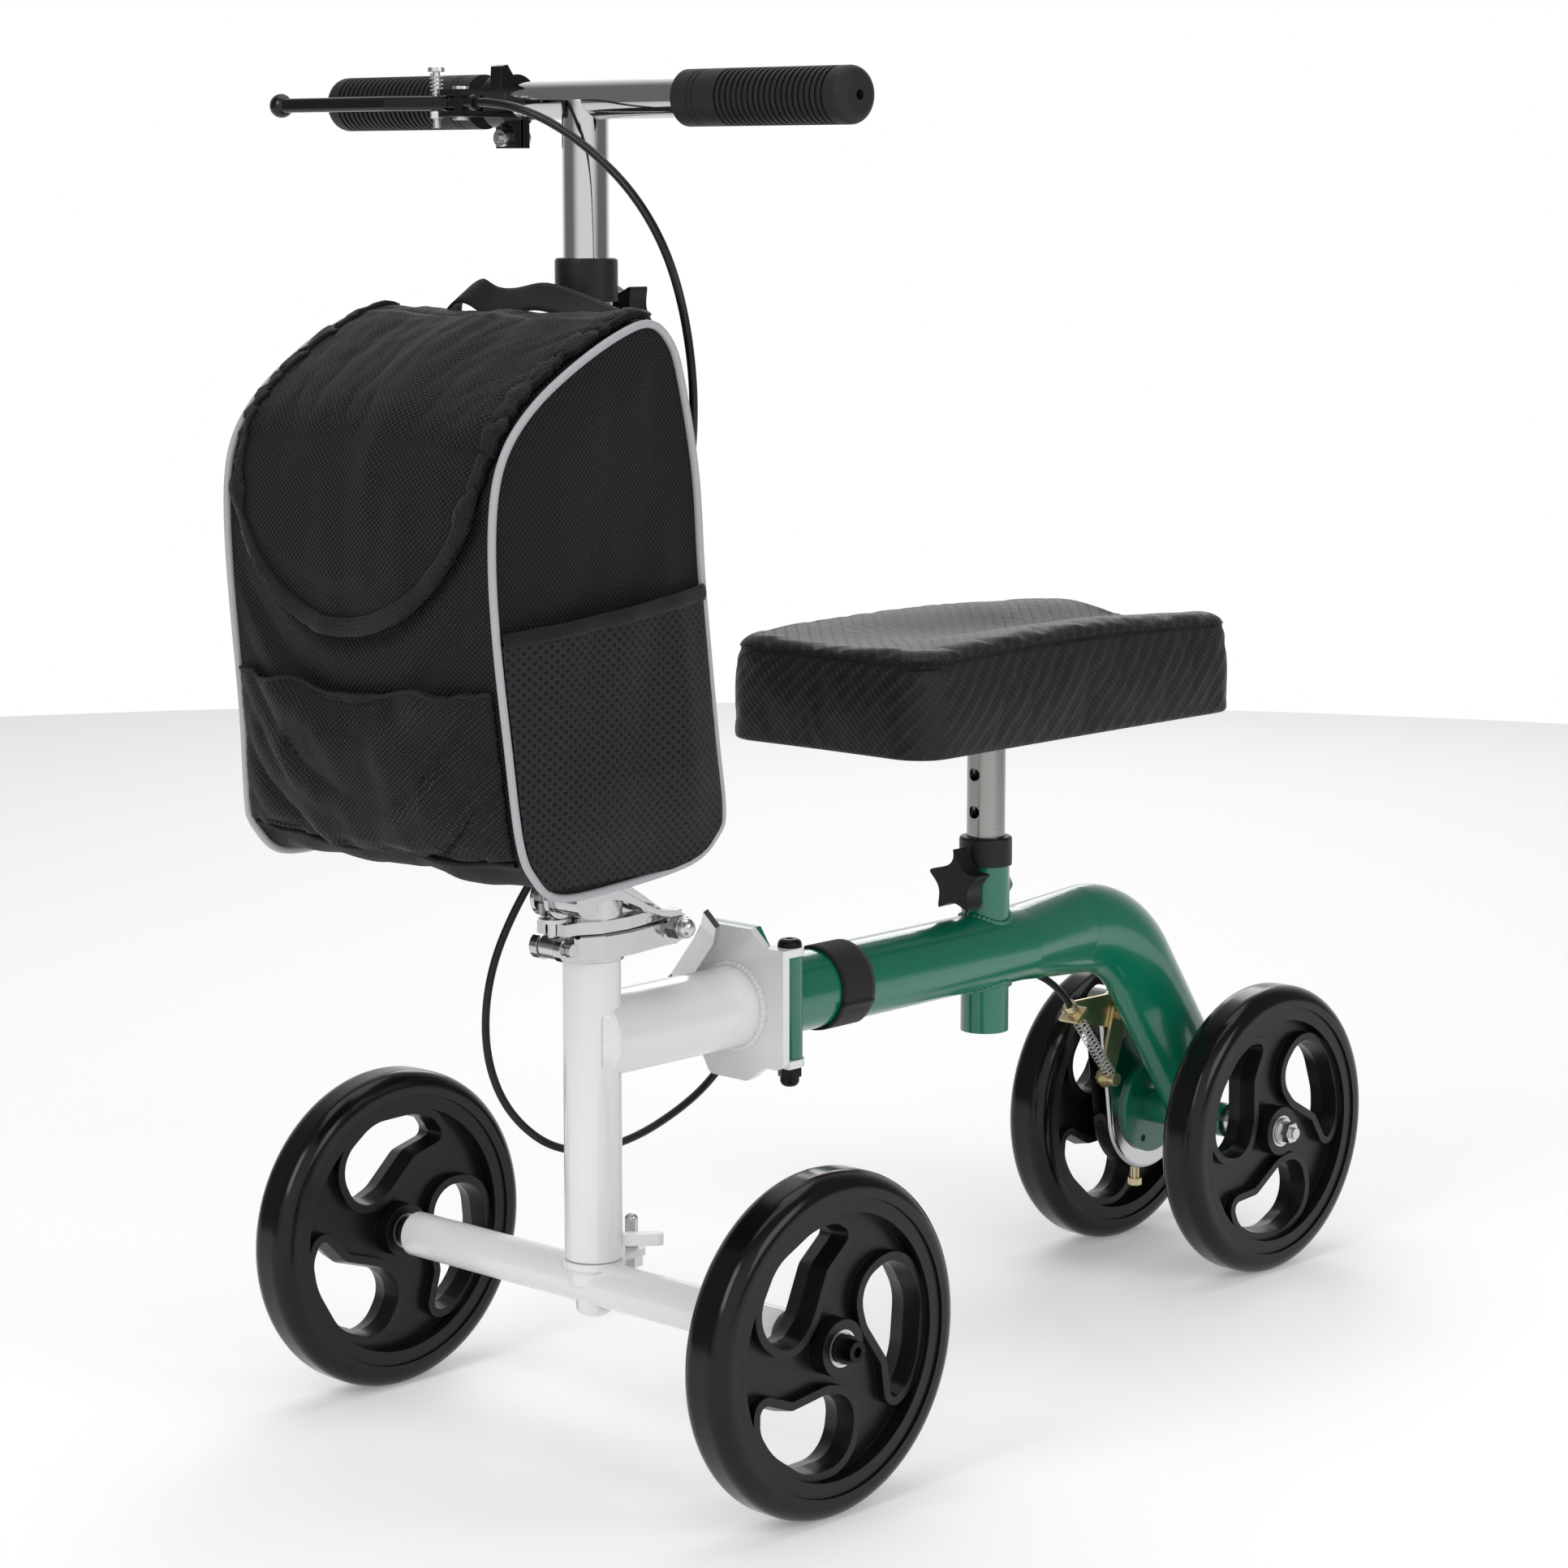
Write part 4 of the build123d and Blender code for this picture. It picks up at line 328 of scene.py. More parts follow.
def add_band(name, rows, uv_rows, body, material, slot, thickness=0.0012):
    """A sheet or tape over rows of points, with its thickness half to each side."""
    piece = add_grid(name, rows, uv_rows, body, material, slot)
    thick = piece.modifiers.new("thickness", "SOLIDIFY")
    thick.thickness = thickness
    thick.offset = 0.0
    return piece


def add_tube(name, points, radius, body, material, closed=False):
    """A round cord through points, as a poly curve with a bevel."""
    return add_object(name, tube_curve(name, points, radius, closed), body, material)


def subdivide(piece):
    """Rounds a piece by one subdivision."""
    smooth = piece.modifiers.new("smooth", "SUBSURF")
    smooth.levels = smooth.render_levels = 1


def spots_grid(spots):
    """Rows of points and rows of surface coordinates, from rows of both together."""
    return [[point for point, _ in row] for row in spots], [[uv for _, uv in row] for row in spots]


def tube_curve(name, points, radius, closed):
    """A poly curve through points, with a round bevel."""
    curve = bpy.data.curves.new(name, "CURVE")
    curve.dimensions = "3D"
    curve.bevel_depth = radius
    curve.bevel_resolution = 6
    spline = curve.splines.new("POLY")
    spline.points.add(len(points) - 1)
    for target, point in zip(spline.points, points):
        target.co = (*point, 1)
    spline.use_cyclic_u = closed
    spline.use_smooth = True
    return curve


def noise_at(x, y, z):
    """Smooth noise, which is the same each run."""
    return noise.noise(Vector((x, y, z)))


def smoothstep(value):
    """An eased 0 to 1."""
    value = min(1.0, max(0.0, value))
    return value * value * (3 - 2 * value)


def between(before, start, end, after, t):
    """A point on the smooth curve from start to end, by Catmull and Rom's formula."""
    square = (2 * before - 5 * start + 4 * end - after) * t**2
    cube = (3 * start - before - 3 * end + after) * t**3
    return 0.5 * (2 * start + (end - before) * t + square + cube)


def evenly_spaced(path, count):
    """Evenly spaced points round a closed path, and its length."""
    lengths = [0.0]
    for a, b in zip(path, path[1:] + path[:1]):
        lengths.append(lengths[-1] + (b - a).length)
    result = []
    place = 0
    for i in range(count):
        target = lengths[-1] * i / count
        while lengths[place + 1] < target:
            place += 1
        share = (target - lengths[place]) / (lengths[place + 1] - lengths[place])
        result.append(path[place].lerp(path[(place + 1) % len(path)], share))
    return result, lengths[-1]


def closed_curve(points, count):
    """Evenly spaced points on a smooth closed curve through the given ones, and its length."""
    samples = []
    total = len(points)
    fine = 24
    for i in range(total):
        before, start, end, after = (Vector(points[(i + k) % total]) for k in (-1, 0, 1, 2))
        samples += [between(before, start, end, after, step / fine) for step in range(fine)]
    return evenly_spaced(samples, count)


# ---------------------------------------------------------------- bag
MM = 0.001
BAG_HALF = 0.115
# the side panel's outline, forward and up in mm, from the rear bottom corner forward and round
BAG_OUTLINE = (
    (14, 390), (36, 377), (98, 370), (138, 370), (156, 383), (166, 404), (174, 457), (181, 510),
    (184, 553), (182, 590), (173, 615), (154, 636), (126, 655), (92, 672), (66, 679), (50, 669),
    (41, 647), (30, 595), (25, 534), (15, 449), (9, 404),
)
BAG_ROUND = 220
BAG_ACROSS = 64
outline_points, outline_length = closed_curve([(x * MM, 0, z * MM) for x, z in BAG_OUTLINE], BAG_ROUND)
STEM_CLEAR = 0.0205
WRAP_SAG_LIMIT = 0.006


def outline_at(u):
    """The side outline's point at a share u of its length."""
    place = (u % 1.0) * BAG_ROUND
    low = int(place) % BAG_ROUND
    return outline_points[low].lerp(outline_points[(low + 1) % BAG_ROUND], place - int(place))


def outline_normal(u):
    """The outward normal of the side outline."""
    along = outline_at(u + 0.008) - outline_at(u - 0.008)
    return Vector((along.z, 0, -along.x)).normalized()


def half_width(side, x, z):
    """Half the bag's width at a side point; its right side, rider's view, is drawn in behind the flap."""
    if side > 0:
        return BAG_HALF
    height = min(1.0, max(0.0, (z - 0.395) / 0.27))
    return BAG_HALF - 0.013 * math.sin(math.pi * height) ** 0.7 * smoothstep((x - 0.02) / 0.12)


def wrap_point(u, v):
    """The bag's front, top, back and bottom before it sags, v from -1 at the right to 1 at the left."""
    base = outline_at(u)
    outward = outline_normal(u)
    swell = 0.0035 * (1 - v**4)
    if base.z > 0.40 and outward.x > 0.3:
        swell += 0.003 * (1 - v * v)
    if outward.z < -0.6:
        swell = -0.001
    point = base + outward * swell + Vector((0, v * half_width(v, base.x, base.z), 0))
    # the back panel goes round the stem
    if outward.x < -0.2:
        hollow = STEM_CLEAR - 0.2 * max(0.0, abs(point.y) - 0.02)
        point.x = max(point.x, hollow)
    return point


def wrap_wrinkle(u, v, point):
    """Outward height of the soft folds in the wrap."""
    seam = 1 - abs(v) ** 6
    low = noise_at(point.y * 14 + 3, point.z * 7, point.x * 7)
    folds = noise_at(point.y * 38, point.z * 9 + 5, 2.0)
    fine = noise_at(point.y * 70, point.z * 55, point.x * 55)
    return seam * (0.0042 * low + 0.0024 * folds + 0.0006 * fine)


def shell_rows():
    """The wrap as rows of points round the outline, and their surface coordinates."""
    rows, uv_rows = [], []
    for i in range(BAG_ROUND):
        u = i / BAG_ROUND
        row, uv_row = [], []
        for j in range(BAG_ACROSS + 1):
            v = 2 * j / BAG_ACROSS - 1
            point = wrap_point(u, v)
            point = point + outline_normal(u) * wrap_wrinkle(u, v, point)
            row.append(point)
            uv_row.append((v * BAG_HALF, u * outline_length))
        rows.append(row)
        uv_rows.append(uv_row)
    return rows, uv_rows


def settle_cloth(piece, held, frames=22, pressure=0.0):
    """Lets a piece sag or swell as cloth, held at some of its points, and returns its points."""
    group = piece.vertex_groups.new(name="held")
    for index, weight in held:
        group.add([index], weight, "REPLACE")
    cloth = piece.modifiers.new("cloth", "CLOTH")
    cloth.settings.quality = 6
    cloth.settings.mass = 0.25
    cloth.settings.tension_stiffness = 25
    cloth.settings.compression_stiffness = 12
    cloth.settings.bending_stiffness = 1.6
    cloth.settings.shrink_min = -0.012
    cloth.settings.vertex_group_mass = "held"
    cloth.settings.pin_stiffness = 1.0
    if pressure:
        cloth.settings.use_pressure = True
        cloth.settings.uniform_pressure_force = pressure
        cloth.settings.effector_weights.gravity = 0.0
    cloth.collision_settings.use_collision = False
    cloth.point_cache.frame_start = 1
    cloth.point_cache.frame_end = frames
    scene.frame_start, scene.frame_end = 1, frames
    for number in range(1, frames + 1):
        scene.frame_set(number)
    settled = bpy.data.meshes.new_from_object(piece.evaluated_get(bpy.context.evaluated_depsgraph_get()))
    piece.modifiers.clear()
    piece.data = settled
    scene.frame_set(1)
    return [vertex.co.copy() for vertex in settled.vertices]


def shift_rows(rows, settled, limit):
    """Moves rows of points to where the cloth settled, by no more than a limit."""
    for i, row in enumerate(rows):
        for j in range(len(row)):
            shift = settled[i * len(row) + j] - row[j]
            if shift.length > limit:
                shift = shift * (limit / shift.length)
            row[j] = row[j] + shift


rows, uv_rows = shell_rows()
wrap_mesh = grid_mesh("bag_wrap", rows, uv_rows, close_rows=True)
bag_wrap = add_object("bag_wrap", wrap_mesh, None, nylon)
held = []
for i in range(BAG_ROUND):
    outward = outline_normal(i / BAG_ROUND)
    for j in range(BAG_ACROSS + 1):
        weight = 1.0 if abs(2 * j / BAG_ACROSS - 1) > 0.97 else 0.0
        if outward.z < -0.5 or outward.x < -0.35:
            weight = 1.0
        if outward.z > 0.55:
            weight = max(weight, 0.25)
        if weight:
            held.append((i * (BAG_ACROSS + 1) + j, weight))
shift_rows(rows, settle_cloth(bag_wrap, held), WRAP_SAG_LIMIT)
bag_wrap.data = grid_mesh("bag_wrap_settled", rows, uv_rows, close_rows=True)
bag_wrap.data.materials.append(nylon)
subdivide(bag_wrap)
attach(bag_wrap, "stem")
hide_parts("bag_body")


def on_wrap(u, v):
    """A point on the settled wrap and the way out from it there."""
    place = (u % 1.0) * BAG_ROUND
    i = int(place) % BAG_ROUND
    column = min(BAG_ACROSS - 1e-6, max(0.0, (v + 1) / 2 * BAG_ACROSS))
    j = int(column)
    fi, fj = place - int(place), column - j
    a, b = rows[i], rows[(i + 1) % BAG_ROUND]
    point = a[j].lerp(a[j + 1], fj).lerp(b[j].lerp(b[j + 1], fj), fi)
    across = a[j + 1] - a[j]
    along = b[j] - a[j]
    return point, across.cross(along).normalized() * -1.0


WRAP_SIGN = 1.0 if on_wrap(0.3, 0.0)[1].dot(outline_normal(0.3)) > 0 else -1.0


def over_wrap(u, v, lift):
    """A point lifted off the settled wrap."""
    point, outward = on_wrap(u, v)
    return point + outward * (WRAP_SIGN * lift)


def share_at(x, z):
    """The share of the outline's length nearest a side point given in mm."""
    target = Vector((x * MM, 0, z * MM))
    best = min(range(BAG_ROUND), key=lambda i: (outline_points[i] - target).length)
    return best / BAG_ROUND


FLAP_HINGE = share_at(58, 678)
FLAP_TIP = share_at(181, 514)
FLAP_ROWS = 96
FLAP_COLUMNS = 72
FLAP_HALF = 0.93
FLAP_LENGTH = 0.24
FLAP_LIFT, BINDING_LIFT = 0.0032, 0.0050


def flap_half_width(s):
    """Half the flap's width, as a share of the bag's half width, s from 0 at the hinge to 1 at its tip."""
    round_start = 0.56
    if s < round_start:
        return FLAP_HALF
    t = (s - round_start) / (1 - round_start)
    return FLAP_HALF * max(0.0, 1 - t**2.3) ** 0.5


def over_flap(s, v, lift):
    """A point on the flap or its binding, v as on the wrap."""
    u = FLAP_HINGE + (FLAP_TIP - FLAP_HINGE) * s
    droop = 0.0035 * smoothstep((s - 0.55) / 0.45)
    wrinkle = 0.0012 * noise_at(v * 4.0, s * 5.0, 9.0)
    return over_wrap(u, v, lift) + outline_normal(u) * (droop + wrinkle)


def flap_spot(s, t):
    """A point on the flap and its surface coordinates, t from -1 to 1 across it."""
    v = flap_half_width(s) * t
    return over_flap(s, v, FLAP_LIFT), (v * BAG_HALF, s * FLAP_LENGTH)


flap_spots = []
for i in range(FLAP_ROWS + 1):
    # rows lie closer towards the round tip, and the last stops just short of it
    s = math.sin(math.pi / 2 * i / FLAP_ROWS) * 0.45 + 0.55 * (i / FLAP_ROWS) if i < FLAP_ROWS else 0.9995
    flap_spots.append([flap_spot(s, 2 * j / FLAP_COLUMNS - 1) for j in range(FLAP_COLUMNS + 1)])
flap = add_band("bag_flap", *spots_grid(flap_spots), "bag_lid_body", nylon, "bag_nylon", 0.0022)
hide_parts("bag_lid")


def flap_edge(t, inset, lift):
    """A point inside the flap's edge, t from -1 at the hinge, by 0 at the tip, to 1 at the hinge again."""
    s = 1 - abs(t) ** 1.35
    half = flap_half_width(s)
    side = math.copysign(1, t) if t else 0.0
    step = 0.004
    widening = flap_half_width(min(1.0, s + step)) * BAG_HALF - half * BAG_HALF
    inward = Vector((-step * FLAP_LENGTH, widening, 0)).normalized()
    if s > 0.995:
        inward = Vector((0, -1, 0))
    v = side * (half * BAG_HALF + inward.x * inset) / BAG_HALF
    return over_flap(s + inward.y * inset / FLAP_LENGTH, v, lift)


def binding_rows(count, width):
    """Rows across the flap's binding, from just outside the edge inward, and their coordinates."""
    steps, outside = 6, 0.0008
    rows, uv_rows = [], []
    length = 0.0
    for k in range(count + 1):
        row = []
        for j in range(steps + 1):
            crown = 0.0007 * math.sin(math.pi * j / steps)
            wobble = 0.0004 * noise_at(k * 0.11, j * 0.2, 4.0)
            lift = BINDING_LIFT + crown + wobble
            row.append(flap_edge(2 * k / count - 1, width * j / steps - outside, lift))
        if rows:
            length += (row[0] - rows[-1][0]).length
        rows.append(row)
        uv_rows.append([(length, width * j / steps) for j in range(steps + 1)])
    return rows, uv_rows


add_band("bag_flap_binding", *binding_rows(220, 0.0095), "bag_lid_body", tape, "webbing", 0.0034)

# front patch pocket: a panel sewn at its sides and foot, open along its top
POCKET_FOOT = share_at(164, 392)
POCKET_TOP = share_at(178, 484)


def pocket_spot(s, t):
    """A point on the front pocket and its coordinates: s from foot to mouth, t from -1 to 1 across."""
    v = 0.955 * t
    slant = 0.012 * t * s
    u = POCKET_FOOT + (POCKET_TOP - POCKET_FOOT) * s * (1 + slant)
    belly = 0.004 * math.sin(math.pi * min(1.0, s * 0.8 + 0.1)) * (1 - t**4)
    mouth = 0.0035 * smoothstep((s - 0.7) / 0.3) * (1 - abs(t) ** 5)
    fold = noise_at(v * 3.0 + 7, s * 1.8 + v * 2.2, 1.0)
    fine = noise_at(v * 9.0, s * 6.0, 5.0)
    point = over_wrap(u, v, 0.0024 + belly + mouth + (1 - t**4) * (0.0038 * fold + 0.0012 * fine))
    return point, (v * BAG_HALF, s * 0.1)


pocket_spots = [[pocket_spot(i / 48, 2 * j / 64 - 1) for j in range(65)] for i in range(49)]
pocket = add_band("bag_front_pocket", *spots_grid(pocket_spots), "stem", nylon, "bag_nylon", 0.0016)

pocket_hem = [pocket_spot(0.985, 2 * j / 64 - 1)[0] for j in range(65)]
add_tube("bag_pocket_hem", pocket_hem, 0.0013, "stem", tape)
pocket_foot = [over_wrap(POCKET_FOOT - 0.004, 1.9 * j / 64 - 0.95, 0.0012) for j in range(65)]
add_tube("bag_foot_seam", pocket_foot, 0.0016, "stem", nylon)


# side panels, with their piping and mesh pockets
def side_swell(x, z):
    """How far a side panel stands out, with its upright folds."""
    nearest = min((Vector((x, 0, z)) - p).length for p in outline_points[::4])
    inside = min(1.0, nearest / 0.035)
    fold = noise_at(x * 30, z * 6, 3.0)
    low = noise_at(x * 12, z * 9, 8.0)
    fine = noise_at(x * 60, z * 50, 1.0)
    return smoothstep(inside) * (0.0030 + 0.0052 * fold + 0.0042 * low + 0.0005 * fine)


def panel_ends(z):
    """The rear and front of the side panel at a height."""
    crossings = []
    for a, b in zip(outline_points, outline_points[1:] + outline_points[:1]):
        if (a.z - z) * (b.z - z) <= 0 and a.z != b.z:
            crossings.append(a.x + (b.x - a.x) * (z - a.z) / (b.z - a.z))
    return min(crossings), max(crossings)


MESH_FOOT = 0.3745
MESH_MOUTH_REAR, MESH_MOUTH_FRONT = 0.534, 0.518


def mesh_spot(side, s, t, lift=0.0):
    """A point on a mesh pocket and its coordinates: s from foot to mouth, t from rear to front."""
    top = MESH_MOUTH_REAR + (MESH_MOUTH_FRONT - MESH_MOUTH_REAR) * t
    z = MESH_FOOT + (top - MESH_FOOT) * s
    rear, front = panel_ends(z)
    x = rear + 0.0015 + (front - rear - 0.003) * t
    away = math.sin(math.pi * t) ** 0.6
    belly = 0.0075 * smoothstep(s * 2.5) * away
    fold = noise_at(x * 26 + side, z * 8, 12.0)
    fold += 0.6 * noise_at(x * 10 + z * 14, 1.0, side)
    y = half_width(side, x, z) + side_swell(x, z) * 0.4 + 0.0030 + belly
    y += 0.0042 * fold * away * smoothstep(s * 3)
    return Vector((x, side * (y + lift), z)), (x, z)


SIDE_CENTRE = Vector((0.095, 0, 0.52))
SIDE_RINGS = 34
for side, side_name in ((1, "left"), (-1, "right")):
    rings, ring_uv = [], []
    for ring in range(SIDE_RINGS + 1):
        share = 1 - ring / SIDE_RINGS * 0.995
        row, uv_row = [], []
        for k in range(BAG_ROUND):
            flat = SIDE_CENTRE + (outline_points[k] - SIDE_CENTRE) * share
            bulge = side_swell(flat.x, flat.z) if ring else 0.0
            reach = half_width(side, flat.x, flat.z)
            row.append(Vector((flat.x, side * (reach + bulge), flat.z)))
            uv_row.append((flat.x, flat.z))
        rings.append(row)
        ring_uv.append(uv_row)
    panel_name = f"bag_side_{side_name}"
    panel = add_grid(panel_name, rings, ring_uv, "stem", side_nylon, "bag_nylon", close_columns=True)
    piping = [p + outline_normal(k / BAG_ROUND) * 0.0006 for k, p in enumerate(outline_points)]
    piping = [Vector((p.x, side * (half_width(side, p.x, p.z) + 0.0008), p.z)) for p in piping]
    add_tube(f"bag_piping_{side_name}", piping, 0.0023, "stem", piping_grey, closed=True)
    net_spots = [[mesh_spot(side, i / 60, j / 60) for j in range(61)] for i in range(61)]
    net = add_grid(
        f"bag_mesh_pocket_{side_name}", *spots_grid(net_spots), "stem", mesh_cloth, "bag_nylon"
    )
    hem_rows = []
    for i in range(5):
        share = 1.0 - 0.055 * i / 4
        crown = 0.0012 * math.sin(math.pi * i / 4)
        hem_rows.append([mesh_spot(side, share, j / 60, 0.0009 + crown)[0] for j in range(61)])
    hem_uv = [[(j * 0.0025, i * 0.0022) for j in range(61)] for i in range(5)]
    add_band(f"bag_pocket_tape_{side_name}", hem_rows, hem_uv, "stem", tape, "webbing")

# carry handle: webbing with a hump at the rider's right; its route goes across and up, in mm
HANDLE_ROUTE = (
    (-66, 677), (-62, 683), (-52, 692), (-42, 694), (-28, 689),
    (-10, 689), (12, 692), (34, 689), (56, 684), (76, 679),
)
HANDLE_X, HANDLE_WIDTH = 0.0490, 0.022
handle_points = [Vector((0, y * MM, z * MM)) for y, z in HANDLE_ROUTE]
handle_rows, handle_uv = [], []
for i in range(81):
    place = i / 80 * (len(handle_points) - 1)
    k = min(int(place), len(handle_points) - 2)
    corners = [handle_points[min(max(k + n, 0), len(handle_points) - 1)] for n in (-1, 0, 1, 2)]
    centre = between(*corners, place - k)
    tilt = 0.95 * math.sin(i / 80 * math.pi) ** 0.5 + 0.25 * noise_at(i * 0.07, 0, 0)
    row = []
    for j in range(7):
        across = (j / 6 - 0.5) * HANDLE_WIDTH
        row.append(centre + Vector((HANDLE_X + across * math.cos(tilt), 0, -across * math.sin(tilt) * 0.8)))
    handle_rows.append(row)
    handle_uv.append([(i * 0.0018, (j / 6) * 0.019) for j in range(7)])
handle = add_band("bag_handle", handle_rows, handle_uv, "stem", tape, "webbing", 0.0018)
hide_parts("bag_straps")

# loops that hold the bag on the stem, each with two tails that reach the bag's back
LOOP_WIDTH, LOOP_RADIUS = 0.025, 0.0174
TAIL_X, TAIL_OUT = 0.0235, 0.011
for number, low in enumerate((0.430, 0.600)):
    loop_rows, loop_uv = [], []
    for k in range(73):
        angle = math.radians(70 + 220 * k / 72)
        row = []
        for j in range(9):
            radius = LOOP_RADIUS + 0.0005 * math.sin(math.pi * j / 8)
            row.append(Vector((radius * math.cos(angle), radius * math.sin(angle), low + LOOP_WIDTH * j / 8)))
        loop_rows.append(row)
        loop_uv.append([(k * 0.0009, LOOP_WIDTH * j / 8) for j in range(9)])
    start = loop_rows[0][4]
    for share in (1 / 3, 2 / 3, 1.0):
        x, y = start.x + (TAIL_X - start.x) * share, start.y + TAIL_OUT * share
        loop_rows.insert(0, [Vector((x, y, p.z)) for p in loop_rows[0]])
        loop_uv.insert(0, [(0.07 + 0.012 * share, v) for _, v in loop_uv[0]])
    end = loop_rows[-1]
    for share in (0.33, 0.66, 1.0):
        loop_rows.append([Vector((p.x + (TAIL_X - p.x) * share, p.y - TAIL_OUT * share, p.z)) for p in end])
        loop_uv.append([(0.08 + 0.012 * share, v) for _, v in loop_uv[0]])
    add_band(f"bag_loop_{number + 1}", loop_rows, loop_uv, "stem", tape, "webbing")

# ---------------------------------------------------------------- knee pad
PAD_FRONT, PAD_LENGTH = -0.199, 0.337
PAD_HALF_FRONT, PAD_HALF_REAR = 0.087, 0.082
PAD_BOTTOM, PAD_SEAM = 0.4030, 0.462
PAD_ROUND = 260
PAD_SWELL_LIMIT = 0.0035
SEAM_INSET = 0.0034


def rounded_plan(count):
    """Evenly spaced points round the pad's plan, anticlockwise from above, and its length."""
    corners = (
        (PAD_FRONT, -PAD_HALF_FRONT, 0.027, -90),
        (PAD_FRONT, PAD_HALF_FRONT, 0.027, 0),
        (PAD_FRONT - PAD_LENGTH, PAD_HALF_REAR, 0.025, 90),
        (PAD_FRONT - PAD_LENGTH, -PAD_HALF_REAR, 0.025, 180),
    )
    middle = PAD_FRONT - PAD_LENGTH / 2
    path = []
    for x, y, radius, start in corners:
        centre = Vector((x - math.copysign(radius, x - middle), y - math.copysign(radius, y), 0))
        for step in range(13):
            angle = math.radians(start + 90 * step / 12)
            path.append(centre + Vector((radius * math.cos(angle), radius * math.sin(angle), 0)))
    points, length = evenly_spaced(path, count)
    # the sides are bowed a little
    bowed = []
    for point in points:
        along = (PAD_FRONT - point.x) / PAD_LENGTH
        across = point.y / PAD_HALF_FRONT
        bow_y = -0.0015 * math.sin(math.pi * along) * across
        bow_x = -0.0025 * (1 - across * across) * (1 if point.x > middle else -1)
        bowed.append(point + Vector((bow_x, bow_y, 0)))
    return bowed, length


pad_plan, pad_round_length = rounded_plan(PAD_ROUND)


def blend_list(t, values):
    """A smooth value along a list of evenly spaced ones."""
    place = min(1.0, max(0.0, t)) * (len(values) - 1)
    k = min(int(place), len(values) - 2)
    share = smoothstep(place - k) * 0.5 + (place - k) * 0.5
    return values[k] + (values[k + 1] - values[k]) * share


def pad_top(x, y):
    """The height of the dished top."""
    t = (PAD_FRONT - x) / PAD_LENGTH
    crest = blend_list(t, (0.4695, 0.4735, 0.4755, 0.4755, 0.4725, 0.469))
    valley = blend_list(t, (0.4690, 0.4672, 0.4645, 0.4625, 0.4605, 0.4590))
    share = smoothstep(abs(y) / 0.060)
    return valley + (crest - valley) * share


PAD_CENTRE = Vector((PAD_FRONT - PAD_LENGTH / 2, 0, 0))


def plan_outward(k):
    """The way out from the pad's plan at one of its points."""
    along = (pad_plan[(k + 1) % PAD_ROUND] - pad_plan[k - 1]).normalized()
    return Vector((along.y, -along.x, 0))


def seam_rise(point):
    """How much higher the seam runs there than at its ends."""
    t = (PAD_FRONT - point.x) / PAD_LENGTH
    return 0.0035 * math.sin(math.pi * min(1.0, max(0.0, t))) - 0.001


def pad_shape():
    """Rows of points from under the bottom edge up the side and over to the middle, with coordinates."""
    # how far out from the plan, and how high
    profile = [(-0.026, PAD_BOTTOM + 0.0002), (-0.010, PAD_BOTTOM + 0.0002)]
    profile += [(-0.0022, PAD_BOTTOM), (0.0, PAD_BOTTOM + 0.0016)]
    for step in range(1, 13):
        share = step / 13
        bow = 0.0012 * math.sin(math.pi * share) - 0.0026 * share
        profile.append((bow, PAD_BOTTOM + (PAD_SEAM - PAD_BOTTOM) * share))
    profile.append((-SEAM_INSET, PAD_SEAM))
    rows, uv_rows = [], []
    for out, height in profile:
        row, uv_row = [], []
        for k in range(PAD_ROUND):
            lift = (height - PAD_BOTTOM) / (PAD_SEAM - PAD_BOTTOM) * seam_rise(pad_plan[k])
            row.append(pad_plan[k] + plan_outward(k) * out + Vector((0, 0, height + lift)))
            uv_row.append((pad_round_length * k / PAD_ROUND, height))
        rows.append(row)
        uv_rows.append(uv_row)
    side_rows = len(rows)
    # the roll over the edge, then the dished middle
    for step in range(1, 9):
        angle = math.pi / 2 * step / 8
        row, uv_row = [], []
        for k in range(PAD_ROUND):
            spot = pad_plan[k] - plan_outward(k) * (SEAM_INSET + 0.016 * (1 - math.cos(angle)))
            seam = PAD_SEAM + seam_rise(pad_plan[k])
            height = seam + (pad_top(spot.x, spot.y) - seam) * math.sin(angle) ** 0.8
            row.append(Vector((spot.x, spot.y, height)))
            uv_row.append((spot.x, spot.y))
        rows.append(row)
        uv_rows.append(uv_row)
    inner = rows[-1]
    for step in range(1, 27):
        share = 1 - step / 27 * 0.985
        row, uv_row = [], []
        for p in inner:
            spot = PAD_CENTRE + Vector(((p.x - PAD_CENTRE.x) * share, (p.y - PAD_CENTRE.y) * share, 0))
            fold = 0.0003 * noise_at(spot.x * 20, spot.y * 30, 1)
            row.append(Vector((spot.x, spot.y, pad_top(spot.x, spot.y) + fold)))
            uv_row.append((spot.x, spot.y))
        rows.append(row)
        uv_rows.append(uv_row)
    return rows, uv_rows, side_rows


def pad_data(name, rows, uv_rows, side_rows):
    """The pad's mesh, with the side and top materials."""
    mesh = grid_mesh(name, rows, uv_rows, close_columns=True)
    mesh.materials.append(pad_side)
    mesh.materials.append(pad_top_cloth)
    width = len(rows[0])
    for face in mesh.polygons:
        if min(face.vertices) // width >= side_rows - 1:
            face.material_index = 1
    return mesh


pad_rows, pad_uv, pad_side_rows = pad_shape()
pad_piece = bpy.data.objects.new("pad_cover", pad_data("pad_cover", pad_rows, pad_uv, pad_side_rows))
scene.collection.objects.link(pad_piece)
held = []
for i in range(len(pad_rows)):
    weight = 1.0 if i < 4 or i == pad_side_rows - 1 else 0.0
    if i > pad_side_rows + 6:
        weight = 0.55
    if weight:
        held += [(i * PAD_ROUND + k, weight) for k in range(PAD_ROUND)]
shift_rows(pad_rows, settle_cloth(pad_piece, held, frames=16, pressure=5.0), PAD_SWELL_LIMIT)
